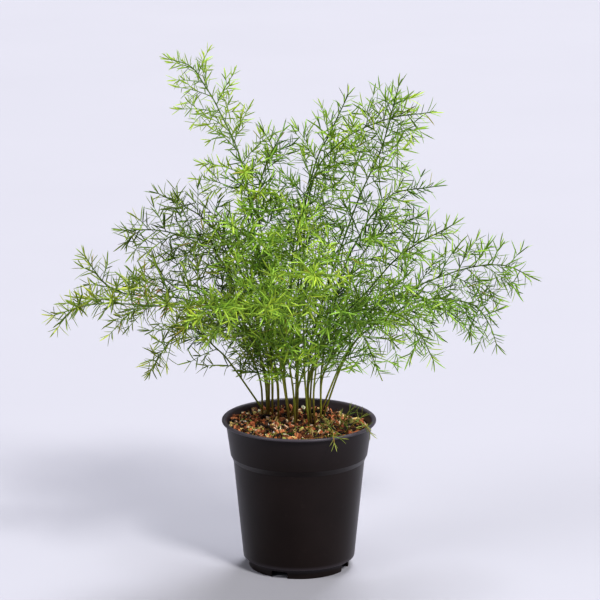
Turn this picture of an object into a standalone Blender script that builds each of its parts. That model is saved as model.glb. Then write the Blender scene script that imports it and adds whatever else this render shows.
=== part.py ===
"""Potted asparagus fern: wiry stems with fine needle leaves in a round nursery pot.

Metres, +Z up. The origin is on the pot's axis, at the surface that the pot stands on.
The stems' paths and the pot's section are given in millimetres, as one would measure them.
"""

import math
import random

import bmesh
import bpy
import numpy as np

MM = 0.001

# Pot, from the surface it stands on, in millimetres
POT_SIDES = 36
POT_HEIGHT = 124.5
LIP_RADIUS = 63.2
LIP_HEIGHT = 2.4
COLLAR_TOP_RADIUS = 59.8
COLLAR_FOOT_RADIUS = 56.2
COLLAR_FOOT_HEIGHT = 95.5
STEP_RADIUS = 53.8
STEP_FOOT_HEIGHT = 90.0
BODY_FOOT_RADIUS = 45.9
FOOT_RADIUS = 41.3
FOOT_HEIGHT = 8.2
FLOOR_LEVEL = 8.8
WALL = 1.4
LIP_ROUNDING = 0.9
EDGE_ROUNDING = 0.4
FLOOR_ROUNDING = 1.2

# Drain notches in the foot ring and the drain holes above them, in millimetres and degrees
DRAIN_COUNT = 4
DRAIN_FIRST_ANGLE = -113.0
NOTCH_WIDTH = 14.0
NOTCH_HEIGHT = 5.4
NOTCH_DEPTH = 8.0
DRAIN_HOLE_RADIUS = 4.5
DRAIN_HOLE_DISTANCE = 29.0
DRAIN_HOLE_SIDES = 12
DRAIN_HOLE_DEPTH = 6.0

# Potting mix, in millimetres
MIX_LEVEL = 114.5
MIX_EDGE_LEVEL = 113.0
MIX_MOUND = 2.4
MIX_BUMP = 1.5
MIX_TILT = 0.035
MIX_RINGS = 6
MIX_SEED = 5
GAP = 0.35

# Stems, side branches and needles, in millimetres
ROOT_DEPTH = 24.0
STRAIGHT_RISE = 5.0
BARE_RISE = 44.0
SHOOT_BARE_RISE = 8.0
HOLE_RISE = 12.0
STEM_ROOT_RADIUS = 1.2
STEM_TIP_RADIUS = 0.65
SHOOT_RADIUS = 0.75
BRANCH_RADIUS = 0.55
NEEDLE_RADIUS = 0.4
PATH_STEP = 8.0
SHOOT_PATH_STEP = 1.5
BRANCH_SPACING = 9.5
SHOOT_BRANCH_SPACING = 12.0
BRANCH_STEPS = 5
SHORTEST_BRANCH = 5.0
BRANCH_ANGLE = 57.0
LONG_BRANCH = 30.0
BRANCH_SAG = 0.16
BRANCH_LIFT = 0.20
BRANCH_FOOT = 1.1
TIP_WITHOUT_BRANCH = 14.0
SHOOT_TIP_WITHOUT_BRANCH = 4.0
CLEAR_OF_ROOT = 8.0
LEAF_LENGTH = 12.0
TIP_LEAF_LENGTH = 9.0
LEAF_ANGLE = 56.0
LEAF_SPACING = 14.5
SHOOT_LEAF_SPACING = 6.0
SHOOT_LEAF_SHARE = 0.62
NODE_LENGTH = 1.4
STEM_NODE_LENGTH = 1.6
BRANCH_SPRAY = 40.0
LOWEST_LEAF = 154.0
LOWEST_LEAF_BEHIND = 147.0
LOWEST_LEAF_SLOPE = 0.26
FOOT_BRANCH_SHARE = 0.62
FOOT_BRANCH_GROWTH = 1.2
TIP_BRANCH_SHARE = 0.30
TIP_BRANCH_GROWTH = 1.9
FOOT_SPACING = 1.25
TIP_SPACING = 0.70
SHOOT_LOWEST_LEAF = 119.5
SHOOT_ROOM = 1.5

# One side branch in this many is drawn, because its needles are at their true size
DRAWN_BRANCH = 3

# A twig gets another ring where it has turned this far since the last one, in degrees,
# looked for in steps and away from its ends, in millimetres
RING_BEND = 14.0
RING_SEARCH = 1.0
RING_ROOM = 2.0

# Room kept between two twigs, and between a needle and what is beside it, in millimetres
TWIG_ROOM = 2.2
LEAF_ROOM = 0.5
OWN_LEAF_ROOM = 0.15
NEEDLE_FOOT_SHARE = 0.2
POT_TESTS = 7

# How a side branch is shortened, and turned round its stem in degrees, until it has room
SHORTER_TRIES = (1.0, 0.8, 0.6)
SWING_TRIES = (0, 25, -25, 50, -50, 80, -80)

# How far lengths differ, as a share, and how far needles turn, in degrees
LENGTH_LUCK = 0.15
LEAN_LUCK = 9.0
SWAY_LUCK = 10.0

# Leafy stems: name, foot on the mix, points that the stem passes, and its side branches' length
LEAFY_STEMS = (
    ("tall_left", (-22, 34),
     ((-23, 32, 158), (-30, 22, 222), (-44, 18, 325), (-64, 18, 376), (-77, 13, 400), (-86, 8, 414),
      (-103, 5, 420)), 45),
    ("top_arching", (-2, 20),
     ((-1, 18, 152), (1, 14, 221), (10, 22, 314), (34, 18, 351), (70, 8, 371), (104, -6, 379)), 43),
    ("top_right", (-6, 24),
     ((0, 27, 146), (5, 26, 162), (20, 12, 222), (47, 8, 303), (66, 0, 349), (79, -6, 400)), 46),
    ("top_centre", (-8, 29),
     ((-12, 28, 156), (-9, 34, 217), (11, 52, 318), (26, 56, 352), (40, 58, 382)), 35),
    ("right_upper", (18, 38),
     ((19, 38, 158), (29, 38, 217), (48, 46, 264), (74, 52, 299), (110, 52, 307)), 30),
    ("right_long", (21, 33),
     ((35, 26, 162), (48, 22, 186), (72, 32, 215), (132, 66, 233), (170, 78, 235), (192, 82, 225)), 39),
    ("right_middle", (9, 17),
     ((8, 12, 156), (26, -14, 203), (54, -38, 240), (81, -52, 274), (120, -64, 300)), 33),
    ("right_drooping", (19, 44),
     ((36, 40, 163), (50, 36, 184), (72, 36, 201), (104, 46, 213), (142, 58, 207), (158, 64, 189),
      (165, 66, 170)), 32),
    ("lower_right", (10, 10),
     ((8, 2, 154), (22, -28, 193), (43, -48, 225), (68, -68, 232), (90, -82, 224), (105, -90, 198)), 36),
    ("front_right", (13, -2),
     ((12, -14, 152), (17, -38, 195), (29, -62, 226), (46, -86, 224), (65, -102, 184)), 36),
    ("front_centre", (8, 2),
     ((5, -8, 156), (4, -36, 195), (4, -66, 241), (8, -104, 269), (13, -149, 279)), 40),
    ("front_low", (-3, 4),
     ((-5, -6, 152), (-10, -42, 192), (-17, -76, 230), (-22, -110, 250), (-26, -150, 248)), 36),
    ("front_left", (-17, 13),
     ((-18, 4, 154), (-30, -30, 197), (-49, -58, 231), (-64, -88, 246), (-78, -126, 240)), 40),
    ("far_left", (-25, 25),
     ((-27, 16, 156), (-41, -14, 199), (-82, -44, 226), (-122, -70, 237), (-160, -92, 243),
      (-190, -108, 238)), 38),
    ("far_left_upper", (-30, 21),
     ((-33, 18, 156), (-54, 2, 204), (-92, -22, 230), (-126, -43, 238), (-150, -57, 248),
      (-168, -68, 276)), 28),
    ("lower_left", (-29, 38),
     ((-57, 29, 164), (-68, 18, 179), (-86, -12, 203), (-102, -40, 201), (-118, -60, 180)), 28),
    ("left_middle", (-26, 30),
     ((-29, 27, 156), (-42, 14, 206), (-55, 6, 240), (-80, 8, 268), (-110, 6, 280), (-142, 4, 281)), 42),
    ("left_inner", (-17, 21),
     ((-18, 18, 154), (-30, 11, 179), (-48, 19, 198), (-70, 24, 222), (-100, 22, 235), (-132, 20, 237)), 38),
    ("left_upper", (-22, 39),
     ((-23, 40, 156), (-36, 40, 202), (-50, 42, 244), (-76, 46, 280), (-115, 48, 302)), 38),
    ("upper_front", (-2, 12),
     ((-1, 4, 152), (-5, -20, 204), (-6, -38, 253), (-3, -58, 292), (4, -92, 318)), 40),
    ("upper_front_left", (-8, 9),
     ((-13, 3, 156), (-20, -18, 203), (-29, -34, 252), (-40, -52, 286), (-54, -84, 306)), 40),
    ("back_left", (-17, 37),
     ((-19, 42, 152), (-27, 50, 189), (-45, 72, 224), (-70, 106, 246), (-98, 138, 246)), 40),
    ("back_centre", (-3, 36),
     ((-2, 44, 152), (-1, 56, 191), (0, 88, 235), (2, 120, 262), (5, 151, 268)), 40),
    ("back_right", (9, 33),
     ((11, 42, 150), (20, 52, 192), (43, 80, 228), (68, 112, 254), (101, 143, 262)), 40),
    ("back_low_left", (-25, 43), ((-25, 49, 152), (-29, 62, 174), (-45, 88, 192), (-78, 132, 188)), 38),
    ("back_low_right", (6, 39), ((8, 49, 151), (13, 64, 174), (39, 92, 192), (82, 136, 190)), 38),
    ("right_low", (18, 28), ((20, 22, 156), (38, 4, 190), (64, 0, 220), (99, 2, 226), (130, 2, 205)), 36),
    ("inner_left", (-8, 16),
     ((-12, 13, 156), (-17, 12, 204), (-25, 12, 252), (-33, 12, 296), (-28, 10, 330), (-13, 8, 361)), 40),
)

# Young shoots: the same, for the short ones close to the rim
YOUNG_SHOOTS = (
    ("young_shoot_over_rim", (38, -24), ((45, -31, 129), (52, -39, 131), (57, -46, 126)), 7),
    ("young_shoot_front", (24, -38), ((26, -45, 127), (27, -56, 130), (28, -65, 123)), 7),
    ("young_shoot_upright", (33, -10), ((36, -12, 126), (41, -15, 135)), 7),
)


def clear_scene():
    """Remove what a new file starts with."""
    for thing in list(bpy.data.objects):
        bpy.data.objects.remove(thing, do_unlink=True)


def plain_material(name, colour, roughness):
    """A material with one colour, which is not metallic."""
    material = bpy.data.materials.new(name)
    material.use_nodes = True
    shader = material.node_tree.nodes["Principled BSDF"]
    shader.inputs["Base Color"].default_value = (*colour, 1.0)
    shader.inputs["Roughness"].default_value = roughness
    shader.inputs["Metallic"].default_value = 0.0
    return material


def object_from(name, bm, material, sharp_angle):
    """An object made from a bmesh, shaded smooth up to the given angle."""
    bmesh.ops.recalc_face_normals(bm, faces=bm.faces)
    mesh = bpy.data.meshes.new(name)
    bm.to_mesh(mesh)
    bm.free()
    mesh.shade_smooth()
    mesh.set_sharp_from_angle(angle=math.radians(sharp_angle))
    thing = bpy.data.objects.new(name, mesh)
    bpy.context.scene.collection.objects.link(thing)
    if material is not None:
        mesh.materials.append(material)
    return thing


def turned(profile):
    """A bmesh turned from a section in millimetres that starts and ends on the pot's axis."""
    bm = bmesh.new()
    points = [bm.verts.new((radius * MM, 0.0, height * MM)) for radius, height in profile]
    edges = [bm.edges.new(pair) for pair in zip(points, points[1:])]
    bmesh.ops.spin(
        bm,
        geom=points + edges,
        cent=(0.0, 0.0, 0.0),
        axis=(0.0, 0.0, 1.0),
        angle=2.0 * math.pi,
        steps=POT_SIDES,
        use_merge=True,
    )
    bmesh.ops.remove_doubles(bm, verts=bm.verts, dist=0.01 * MM)
    return bm


def cut_away(thing, cutter):
    """Cut one object with another, which is only a guide."""
    cutter.hide_render = True
    cutter.display_type = "WIRE"
    cut = thing.modifiers.new(cutter.name, "BOOLEAN")
    cut.operation = "DIFFERENCE"
    cut.solver = "EXACT"
    cut.object = cutter


def pot_section():
    """The pot's section: up the inner side, round the lip, down the outer side and under the floor."""
    lip_foot = POT_HEIGHT - LIP_HEIGHT
    floor_under = FLOOR_LEVEL - WALL
    inner = [
        (0.0, FLOOR_LEVEL),
        (BODY_FOOT_RADIUS - WALL - 0.5 * FLOOR_ROUNDING, FLOOR_LEVEL),
        (BODY_FOOT_RADIUS - WALL, FLOOR_LEVEL + FLOOR_ROUNDING),
        (STEP_RADIUS - WALL, STEP_FOOT_HEIGHT + EDGE_ROUNDING),
        (COLLAR_FOOT_RADIUS - WALL, COLLAR_FOOT_HEIGHT + EDGE_ROUNDING),
        (COLLAR_TOP_RADIUS - WALL, lip_foot),
        (COLLAR_TOP_RADIUS - LIP_ROUNDING, POT_HEIGHT - LIP_ROUNDING),
        (COLLAR_TOP_RADIUS + LIP_ROUNDING, POT_HEIGHT),
    ]
    outer = [
        (LIP_RADIUS - LIP_ROUNDING, POT_HEIGHT - 0.5 * EDGE_ROUNDING),
        (LIP_RADIUS, POT_HEIGHT - 1.5 * LIP_ROUNDING),
        (LIP_RADIUS - EDGE_ROUNDING, lip_foot + EDGE_ROUNDING),
        (COLLAR_TOP_RADIUS + EDGE_ROUNDING, lip_foot),
        (COLLAR_TOP_RADIUS, lip_foot - LIP_ROUNDING),
        (COLLAR_FOOT_RADIUS, COLLAR_FOOT_HEIGHT),
        (STEP_RADIUS, STEP_FOOT_HEIGHT),
        (BODY_FOOT_RADIUS, FOOT_HEIGHT + LIP_ROUNDING),
        (BODY_FOOT_RADIUS - LIP_ROUNDING, FOOT_HEIGHT),
        (FOOT_RADIUS + EDGE_ROUNDING, FOOT_HEIGHT - 0.5 * EDGE_ROUNDING),
        (FOOT_RADIUS, 0.0),
        (FOOT_RADIUS - WALL, 0.0),
        (FOOT_RADIUS - WALL + EDGE_ROUNDING, floor_under),
        (0.0, floor_under),
    ]
    return inner + outer


def drain_angles():
    """The directions of the drain notches, evenly round the foot."""
    first = math.radians(DRAIN_FIRST_ANGLE)
    return [first + 2.0 * math.pi * k / DRAIN_COUNT for k in range(DRAIN_COUNT)]


def drain_cutter(index, angle):
    """What a drain takes away: a notch through the foot ring and a round hole through the floor."""
    bm = bmesh.new()
    notch = bmesh.ops.create_cube(bm, size=1.0)["verts"]
    bmesh.ops.scale(bm, vec=(NOTCH_DEPTH * MM, NOTCH_WIDTH * MM, 2.0 * NOTCH_HEIGHT * MM), verts=notch)
    bmesh.ops.translate(bm, vec=(FOOT_RADIUS * MM, 0.0, 0.0), verts=notch)
    hole = bmesh.ops.create_cone(
        bm,
        cap_ends=True,
        segments=DRAIN_HOLE_SIDES,
        radius1=DRAIN_HOLE_RADIUS * MM,
        radius2=DRAIN_HOLE_RADIUS * MM,
        depth=DRAIN_HOLE_DEPTH * MM,
    )["verts"]
    bmesh.ops.translate(bm, vec=(DRAIN_HOLE_DISTANCE * MM, 0.0, FOOT_HEIGHT * MM), verts=hole)
    cutter = object_from(f"drain_cutter_{index}", bm, None, 30.0)
    cutter.rotation_euler = (0.0, 0.0, angle)
    return cutter


def make_pot():
    """The nursery pot, one shell with its drains cut through."""
    plastic = plain_material("black_plastic", (0.030, 0.027, 0.027), 0.42)
    pot = object_from("pot", turned(pot_section()), plastic, 30.0)
    for index, angle in enumerate(drain_angles()):
        cut_away(pot, drain_cutter(index, angle))
    return pot


def inner_wall(height):
    """The pot's inner radius at a height in its collar."""
    rise = (height - COLLAR_FOOT_HEIGHT) / (POT_HEIGHT - LIP_HEIGHT - COLLAR_FOOT_HEIGHT)
    return COLLAR_FOOT_RADIUS - WALL + rise * (COLLAR_TOP_RADIUS - COLLAR_FOOT_RADIUS)


def mix_section():
    """The potting mix in section: its flat foot, its side along the pot's wall and its mounded top."""
    floor = FLOOR_LEVEL + GAP
    edge = inner_wall(MIX_EDGE_LEVEL) - GAP
    side = [
        (0.0, floor),
        (BODY_FOOT_RADIUS - WALL - FLOOR_ROUNDING, floor),
        (BODY_FOOT_RADIUS - WALL - GAP, floor + FLOOR_ROUNDING),
        (STEP_RADIUS - WALL - GAP, STEP_FOOT_HEIGHT + 0.5 * EDGE_ROUNDING),
        (COLLAR_FOOT_RADIUS - WALL - GAP, COLLAR_FOOT_HEIGHT + 0.5 * EDGE_ROUNDING),
        (edge, MIX_EDGE_LEVEL),
    ]
    top = []
    for ring in range(MIX_RINGS - 1, -1, -1):
        share = ring / MIX_RINGS
        top.append((edge * share, MIX_LEVEL + MIX_MOUND * (1.0 - share * share)))
    return side + top


def make_mix(stems):
    """The potting mix, with a rough top and a plain hole for every stem."""
    husk = plain_material("potting_mix", (0.20, 0.085, 0.045), 0.95)
    bm = turned(mix_section())
    luck = random.Random(MIX_SEED)
    for vertex in sorted(bm.verts, key=lambda v: (round(v.co.x, 6), round(v.co.y, 6), round(v.co.z, 6))):
        bump = MIX_BUMP * luck.uniform(-1.0, 1.0) * MM
        if vertex.co.z > 0.5 * (MIX_EDGE_LEVEL + MIX_LEVEL) * MM:
            vertex.co.z += bump - MIX_TILT * vertex.co.x
    mix = object_from("potting_mix", bm, husk, 20.0)
    bm = bmesh.new()
    for stem in stems:
        add_stem_hole(bm, stem)
    cut_away(mix, object_from("stem_hole_cutter", bm, None, 30.0))
    return mix


def add_stem_hole(bm, stem):
    """A square hole's volume round the buried end of one stem."""
    radius = (stem.radius(0.0) + GAP * math.sqrt(2.0)) * MM
    bottom = stem.twig.path[0] - np.array([0.0, 0.0, GAP * MM])
    corners = []
    for k in range(4):
        angle = math.radians(45.0 + 90.0 * k)
        spoke = np.array([math.cos(angle), math.sin(angle), 0.0])
        corners.append(bm.verts.new(bottom + radius * spoke))
    foot = bm.faces.new(corners)
    raised = bmesh.ops.extrude_face_region(bm, geom=[foot])["geom"]
    top = [part for part in raised if isinstance(part, bmesh.types.BMVert)]
    bmesh.ops.translate(bm, vec=(0.0, 0.0, (ROOT_DEPTH + HOLE_RISE) * MM), verts=top)


def unit(vector):
    """The vector at length one."""
    return vector / np.linalg.norm(vector)


def smooth_path(corners, spacing):
    """Evenly spaced points on a smooth curve through the corners."""
    corners = [np.array(corner, float) for corner in corners]
    padded = [2.0 * corners[0] - corners[1]] + corners + [2.0 * corners[-1] - corners[-2]]
    dense = []
    for before, start, end, after in zip(padded, padded[1:], padded[2:], padded[3:]):
        for t in np.linspace(0.0, 1.0, 12, endpoint=False):
            straight = 2.0 * start + (end - before) * t
            bend = (2.0 * before - 5.0 * start + 4.0 * end - after) * t**2
            twist = (3.0 * start - before - 3.0 * end + after) * t**3
            dense.append(0.5 * (straight + bend + twist))
    dense = np.array(dense + [corners[-1]])
    travelled = np.concatenate([[0.0], np.cumsum(np.linalg.norm(np.diff(dense, axis=0), axis=1))])
    stops = np.linspace(0.0, travelled[-1], max(3, round(travelled[-1] / spacing)))
    return np.column_stack([np.interp(stops, travelled, dense[:, k]) for k in range(3)])


class Twig:
    """A smooth line through space, with a direction and two side axes at every point of it."""

    def __init__(self, path):
        self.path = path
        self.travelled = np.concatenate([[0.0], np.cumsum(np.linalg.norm(np.diff(path, axis=0), axis=1))])
        self.length = self.travelled[-1]
        self.forward = np.array([unit(step) for step in np.gradient(path, axis=0)])
        helper = np.array([1.0, 0.0, 0.0])
        if abs(self.forward[0][0]) > 0.8:
            helper = np.array([0.0, 1.0, 0.0])
        sides = []
        for forward in self.forward:
            helper = unit(helper - (helper @ forward) * forward)
            sides.append(helper)
        self.side = np.array(sides)

    def at(self, distance):
        """The place, the direction and the two side axes at a distance along the line."""
        place, forward, side = (
            np.array([np.interp(distance, self.travelled, rows[:, k]) for k in range(3)])
            for rows in (self.path, self.forward, self.side)
        )
        forward = unit(forward)
        side = unit(side - (side @ forward) * forward)
        return place, forward, side, np.cross(forward, side)


class Clearance:
    """Every straight piece of twig and needle so far, so that the next one can be kept clear of them."""

    def __init__(self):
        self.starts = np.empty((0, 3))
        self.ends = np.empty((0, 3))
        self.radii = np.empty(0)
        self.stems = np.empty(0, int)
        self.twigs = np.empty(0, int)

    def add(self, points, radius, stem, twig):
        """Keep the pieces between neighbouring points."""
        points = np.asarray(points)
        count = len(points) - 1
        self.starts = np.vstack([self.starts, points[:-1]])
        self.ends = np.vstack([self.ends, points[1:]])
        self.radii = np.concatenate([self.radii, np.full(count, radius)])
        self.stems = np.concatenate([self.stems, np.full(count, stem)])
        self.twigs = np.concatenate([self.twigs, np.full(count, twig)])

    def gaps(self, start, end):
        """The distance from the piece between start and end to the surface of each kept piece."""
        along = end - start
        others = self.ends - self.starts
        offset = start - self.starts
        own_square = along @ along
        squares = np.einsum("ij,ij->i", others, others)
        shares = np.einsum("ij,ij->i", others, offset)
        leans = offset @ along
        cross = others @ along
        spread = np.maximum(own_square * squares - cross * cross, 1e-18)
        s = np.clip((cross * shares - leans * squares) / spread, 0.0, 1.0)
        t = (cross * s + shares) / squares
        s = np.where(t < 0.0, np.clip(-leans / own_square, 0.0, 1.0), s)
        s = np.where(t > 1.0, np.clip((cross - leans) / own_square, 0.0, 1.0), s)
        t = np.clip(t, 0.0, 1.0)
        apart = start + s[:, None] * along - self.starts - t[:, None] * others
        return np.sqrt(np.einsum("ij,ij->i", apart, apart)) - self.radii


class Branch:
    """A side branch: where it leaves its stem, in which direction round it, and its line."""

    def __init__(self, number, start, azimuth, twig):
        self.number = number
        self.start = start
        self.azimuth = azimuth
        self.twig = twig


class Stem:
    """A leafy stem: its line from the buried end to the tip, and its side branches."""

    def __init__(self, number, name, foot, passes, spread, young):
        self.number = number
        self.name = name
        self.spread = spread
        self.young = young
        buried = (*foot, MIX_LEVEL - ROOT_DEPTH)
        level = (*foot, MIX_LEVEL + STRAIGHT_RISE)
        above = smooth_path([level, *passes], SHOOT_PATH_STEP if young else PATH_STEP)
        self.twig = Twig(np.vstack([[buried], above]) * MM)
        self.bare = ROOT_DEPTH + (SHOOT_BARE_RISE if young else BARE_RISE)
        self.branches = []

    def radius(self, distance):
        """The stem's radius in millimetres at a distance in metres from its buried end."""
        root = SHOOT_RADIUS if self.young else STEM_ROOT_RADIUS
        tip = SHOOT_RADIUS if self.young else STEM_TIP_RADIUS
        return root + (tip - root) * distance / self.twig.length

    def branch_length(self, start):
        """The length of a side branch in millimetres, shorter at the foot and towards the tip."""
        rise = (start / MM - self.bare) / (self.twig.length / MM - self.bare)
        low = FOOT_BRANCH_SHARE + FOOT_BRANCH_GROWTH * rise
        high = TIP_BRANCH_SHARE + TIP_BRANCH_GROWTH * (1.0 - rise)
        return self.spread * min(low, 1.0, high)


def branch_path(stem, start, azimuth, length):
    """The points of a side branch, which leaves its stem at an angle and bends down towards its end."""
    place, forward, side, across = stem.twig.at(start)
    outward = math.cos(azimuth) * side + math.sin(azimuth) * across
    lean = math.radians(BRANCH_ANGLE)
    direction = unit(math.cos(lean) * forward + math.sin(lean) * outward + np.array([0.0, 0.0, BRANCH_LIFT]))
    shares = np.linspace(0.0, 1.0, BRANCH_STEPS + 1)[:, None]
    sag = np.array([0.0, 0.0, -BRANCH_SAG * length / LONG_BRANCH])
    return place + length * MM * (shares * direction + shares**2 * sag)


def lowest_leaf(place):
    """The least height of a leaf at a place, in metres: the bush's underside rises towards the front."""
    return max(LOWEST_LEAF * MM - LOWEST_LEAF_SLOPE * place[1], LOWEST_LEAF_BEHIND * MM)


def keeps_off_pot(stem, start, end):
    """Whether a twig or needle stays above the lowest leaf or, on a young shoot, off the pot and the mix."""
    if not stem.young:
        return start[2] > lowest_leaf(start) and end[2] > lowest_leaf(end)
    for share in np.linspace(0.0, 1.0, POT_TESTS):
        x, y, z = (start + share * (end - start)) / MM
        distance = math.hypot(x, y)
        lowest = SHOOT_LOWEST_LEAF if distance < STEP_RADIUS else POT_HEIGHT + SHOOT_ROOM
        if distance < LIP_RADIUS + SHOOT_ROOM and z < lowest:
            return False
    return True


def has_room(clearance, stem, path):
    """Whether a side branch keeps clear of the pot, of other twigs and of its own stem further on."""
    for start, end in zip(path, path[1:]):
        gaps = clearance.gaps(start, end)
        if np.linalg.norm(start - path[0]) < CLEAR_OF_ROOT * MM:
            gaps = gaps[(clearance.stems != stem.number) | (clearance.twigs != 0)]
        if gaps.size and gaps.min() < (TWIG_ROOM + BRANCH_RADIUS) * MM:
            return False
    return keeps_off_pot(stem, path[1], path[-1])


def differing(luck):
    """A factor near one, by which lengths and spacings differ."""
    return luck.uniform(1.0 - LENGTH_LUCK, 1.0 + LENGTH_LUCK)


def grow_branches(stem, clearance, luck):
    """Set the side branches round a stem, each one turned or shortened until it has room."""
    spacing = SHOOT_BRANCH_SPACING if stem.young else BRANCH_SPACING
    start = stem.bare
    half_turns = luck.choice((0, 1))
    last = stem.twig.length / MM - (SHOOT_TIP_WITHOUT_BRANCH if stem.young else TIP_WITHOUT_BRANCH)
    while start < last:
        half_turns += 1
        turn = 180.0 * half_turns + luck.gauss(0.0, BRANCH_SPRAY)
        wish = stem.branch_length(start * MM) * differing(luck)
        for share, swing in [(share, swing) for share in SHORTER_TRIES for swing in SWING_TRIES]:
            azimuth = math.radians(turn + swing)
            path = branch_path(stem, start * MM, azimuth, max(wish * share, SHORTEST_BRANCH))
            if has_room(clearance, stem, path):
                number = len(stem.branches) + 1
                stem.branches.append(Branch(number, start * MM, azimuth, Twig(path)))
                clearance.add(path, BRANCH_RADIUS * MM, stem.number, number)
                break
        rise = (start - stem.bare) / (stem.twig.length / MM - stem.bare)
        closeness = 1.0 if stem.young else FOOT_SPACING + (TIP_SPACING - FOOT_SPACING) * rise
        start += spacing * differing(luck) * closeness


def grow_plant():
    """Every leafy stem and young shoot, with side branches that keep clear of each other."""
    stems = []
    for young, rows in ((False, LEAFY_STEMS), (True, YOUNG_SHOOTS)):
        for name, foot, passes, spread in rows:
            stems.append(Stem(len(stems), name, foot, passes, spread, young))
    clearance = Clearance()
    for stem in stems:
        clearance.add(stem.twig.path, stem.radius(0.0) * MM, stem.number, 0)
    for stem in stems:
        grow_branches(stem, clearance, random.Random(stem.number + 1))
    return stems


def drawn_branches(stem):
    """The side branches that the solid shows: one in a few, counted from the tip."""
    return stem.branches[::-1][::1 if stem.young else DRAWN_BRANCH][::-1]


def leaf_stops(branch, young):
    """Distances along a side branch, in metres, of the nodes that carry needles, up to its end."""
    last = branch.twig.length - NODE_LENGTH * MM
    spacing = (SHOOT_LEAF_SPACING if young else LEAF_SPACING) * MM
    count = max(1, round(last / spacing))
    return [last - k * last / (count + 0.1) for k in range(count - 1, -1, -1)]


def bend_stops(twig, start, end):
    """Distances between two places on a twig, in metres, where it has turned enough to need a ring."""
    stops = []
    heading = twig.at(start)[1]
    for distance in np.arange(start + RING_ROOM * MM, end - RING_ROOM * MM, RING_SEARCH * MM):
        forward = twig.at(distance)[1]
        if heading @ forward < math.cos(math.radians(RING_BEND)):
            stops.append(distance)
            heading = forward
    return stops


def stem_stops(stem):
    """The rings and nodes of a stem from its foot up: distances in metres, each with its branch or none."""
    places = [(0.0, None), ((ROOT_DEPTH + STRAIGHT_RISE) * MM, None)]
    nodes = [(branch.start, branch) for branch in drawn_branches(stem)]
    nodes.append((stem.twig.length - NODE_LENGTH * MM, None))
    for distance, branch in nodes:
        places += [(stop, None) for stop in bend_stops(stem.twig, places[-1][0], distance)]
        places.append((distance, branch))
    return places


def ring_at(bm, twig, distance, radius, turn, sides):
    """The corners of a ring round a twig."""
    place, _, side, across = twig.at(distance)
    corners = []
    for k in range(sides):
        angle = turn + 2.0 * math.pi * k / sides
        spoke = math.cos(angle) * side + math.sin(angle) * across
        corners.append(bm.verts.new(place + radius * MM * spoke))
    return corners


def side_corners(lower, upper, k):
    """The four corners of one side between two rings."""
    following = (k + 1) % len(lower)
    return lower[k], lower[following], upper[following], upper[k]


def close_sides(bm, lower, upper):
    """Plain sides between two rings."""
    for k in range(len(lower)):
        bm.faces.new(side_corners(lower, upper, k))


def point_tip(bm, ring, tip):
    """Close a ring to a point."""
    end = bm.verts.new(tip)
    for k in range(len(ring)):
        bm.faces.new((ring[k], ring[(k + 1) % len(ring)], end))


def needle_tip(middle, outward, forward, luck, young):
    """The point of a needle that leans forward out of its side."""
    lean = math.radians(LEAF_ANGLE + luck.uniform(-LEAN_LUCK, LEAN_LUCK))
    sway = math.radians(luck.uniform(-SWAY_LUCK, SWAY_LUCK))
    sideways = np.cross(forward, outward)
    out = math.cos(sway) * outward + math.sin(sway) * sideways
    length = LEAF_LENGTH * differing(luck) * (SHOOT_LEAF_SHARE if young else 1.0) * MM
    return middle + length * (math.sin(lean) * out + math.cos(lean) * forward)


def needle_fits(clearance, stem, skip, middle, tip):
    """Whether a needle keeps clear of all but the twigs that it is allowed to touch."""
    if not keeps_off_pot(stem, middle + NEEDLE_FOOT_SHARE * (tip - middle), tip):
        return False
    gaps = clearance.gaps(middle, tip)
    own = clearance.stems == stem.number
    allowed = own & np.isin(clearance.twigs, skip)
    room = np.where(own, OWN_LEAF_ROOM, LEAF_ROOM) + NEEDLE_RADIUS
    return bool(np.all((gaps > room * MM) | allowed))


def raise_needles(bm, clearance, stem, skip, lower, upper, forward, sides, luck):
    """Raise a needle out of each free side of a node, or close the side where it has no room."""
    whorl = []
    for k in sides:
        corners = side_corners(lower, upper, k)
        places = [np.array(corner.co) for corner in corners]
        middle = sum(places) / 4.0
        outward = unit(np.cross(places[2] - places[0], places[3] - places[1]))
        tip = needle_tip(middle, outward, forward, luck, stem.young)
        if needle_fits(clearance, stem, skip, middle, tip):
            end = bm.verts.new(tip)
            for a, b in zip(corners, corners[1:] + corners[:1]):
                bm.faces.new((a, b, end))
            whorl.append((middle, tip))
        else:
            bm.faces.new(corners)
    for middle, tip in whorl:
        clearance.add([middle, tip], NEEDLE_RADIUS * MM, stem.number, -1)


def end_point(clearance, stem, skip, twig):
    """The point of the needle that ends a twig, or a blunt end where it has no room."""
    place, forward, _, _ = twig.at(twig.length)
    length = TIP_LEAF_LENGTH * (SHOOT_LEAF_SHARE if stem.young else 1.0) * MM
    tip = place + length * forward
    if needle_fits(clearance, stem, skip, place, tip):
        clearance.add([place, tip], NEEDLE_RADIUS * MM, stem.number, -1)
        return tip
    return place


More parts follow.
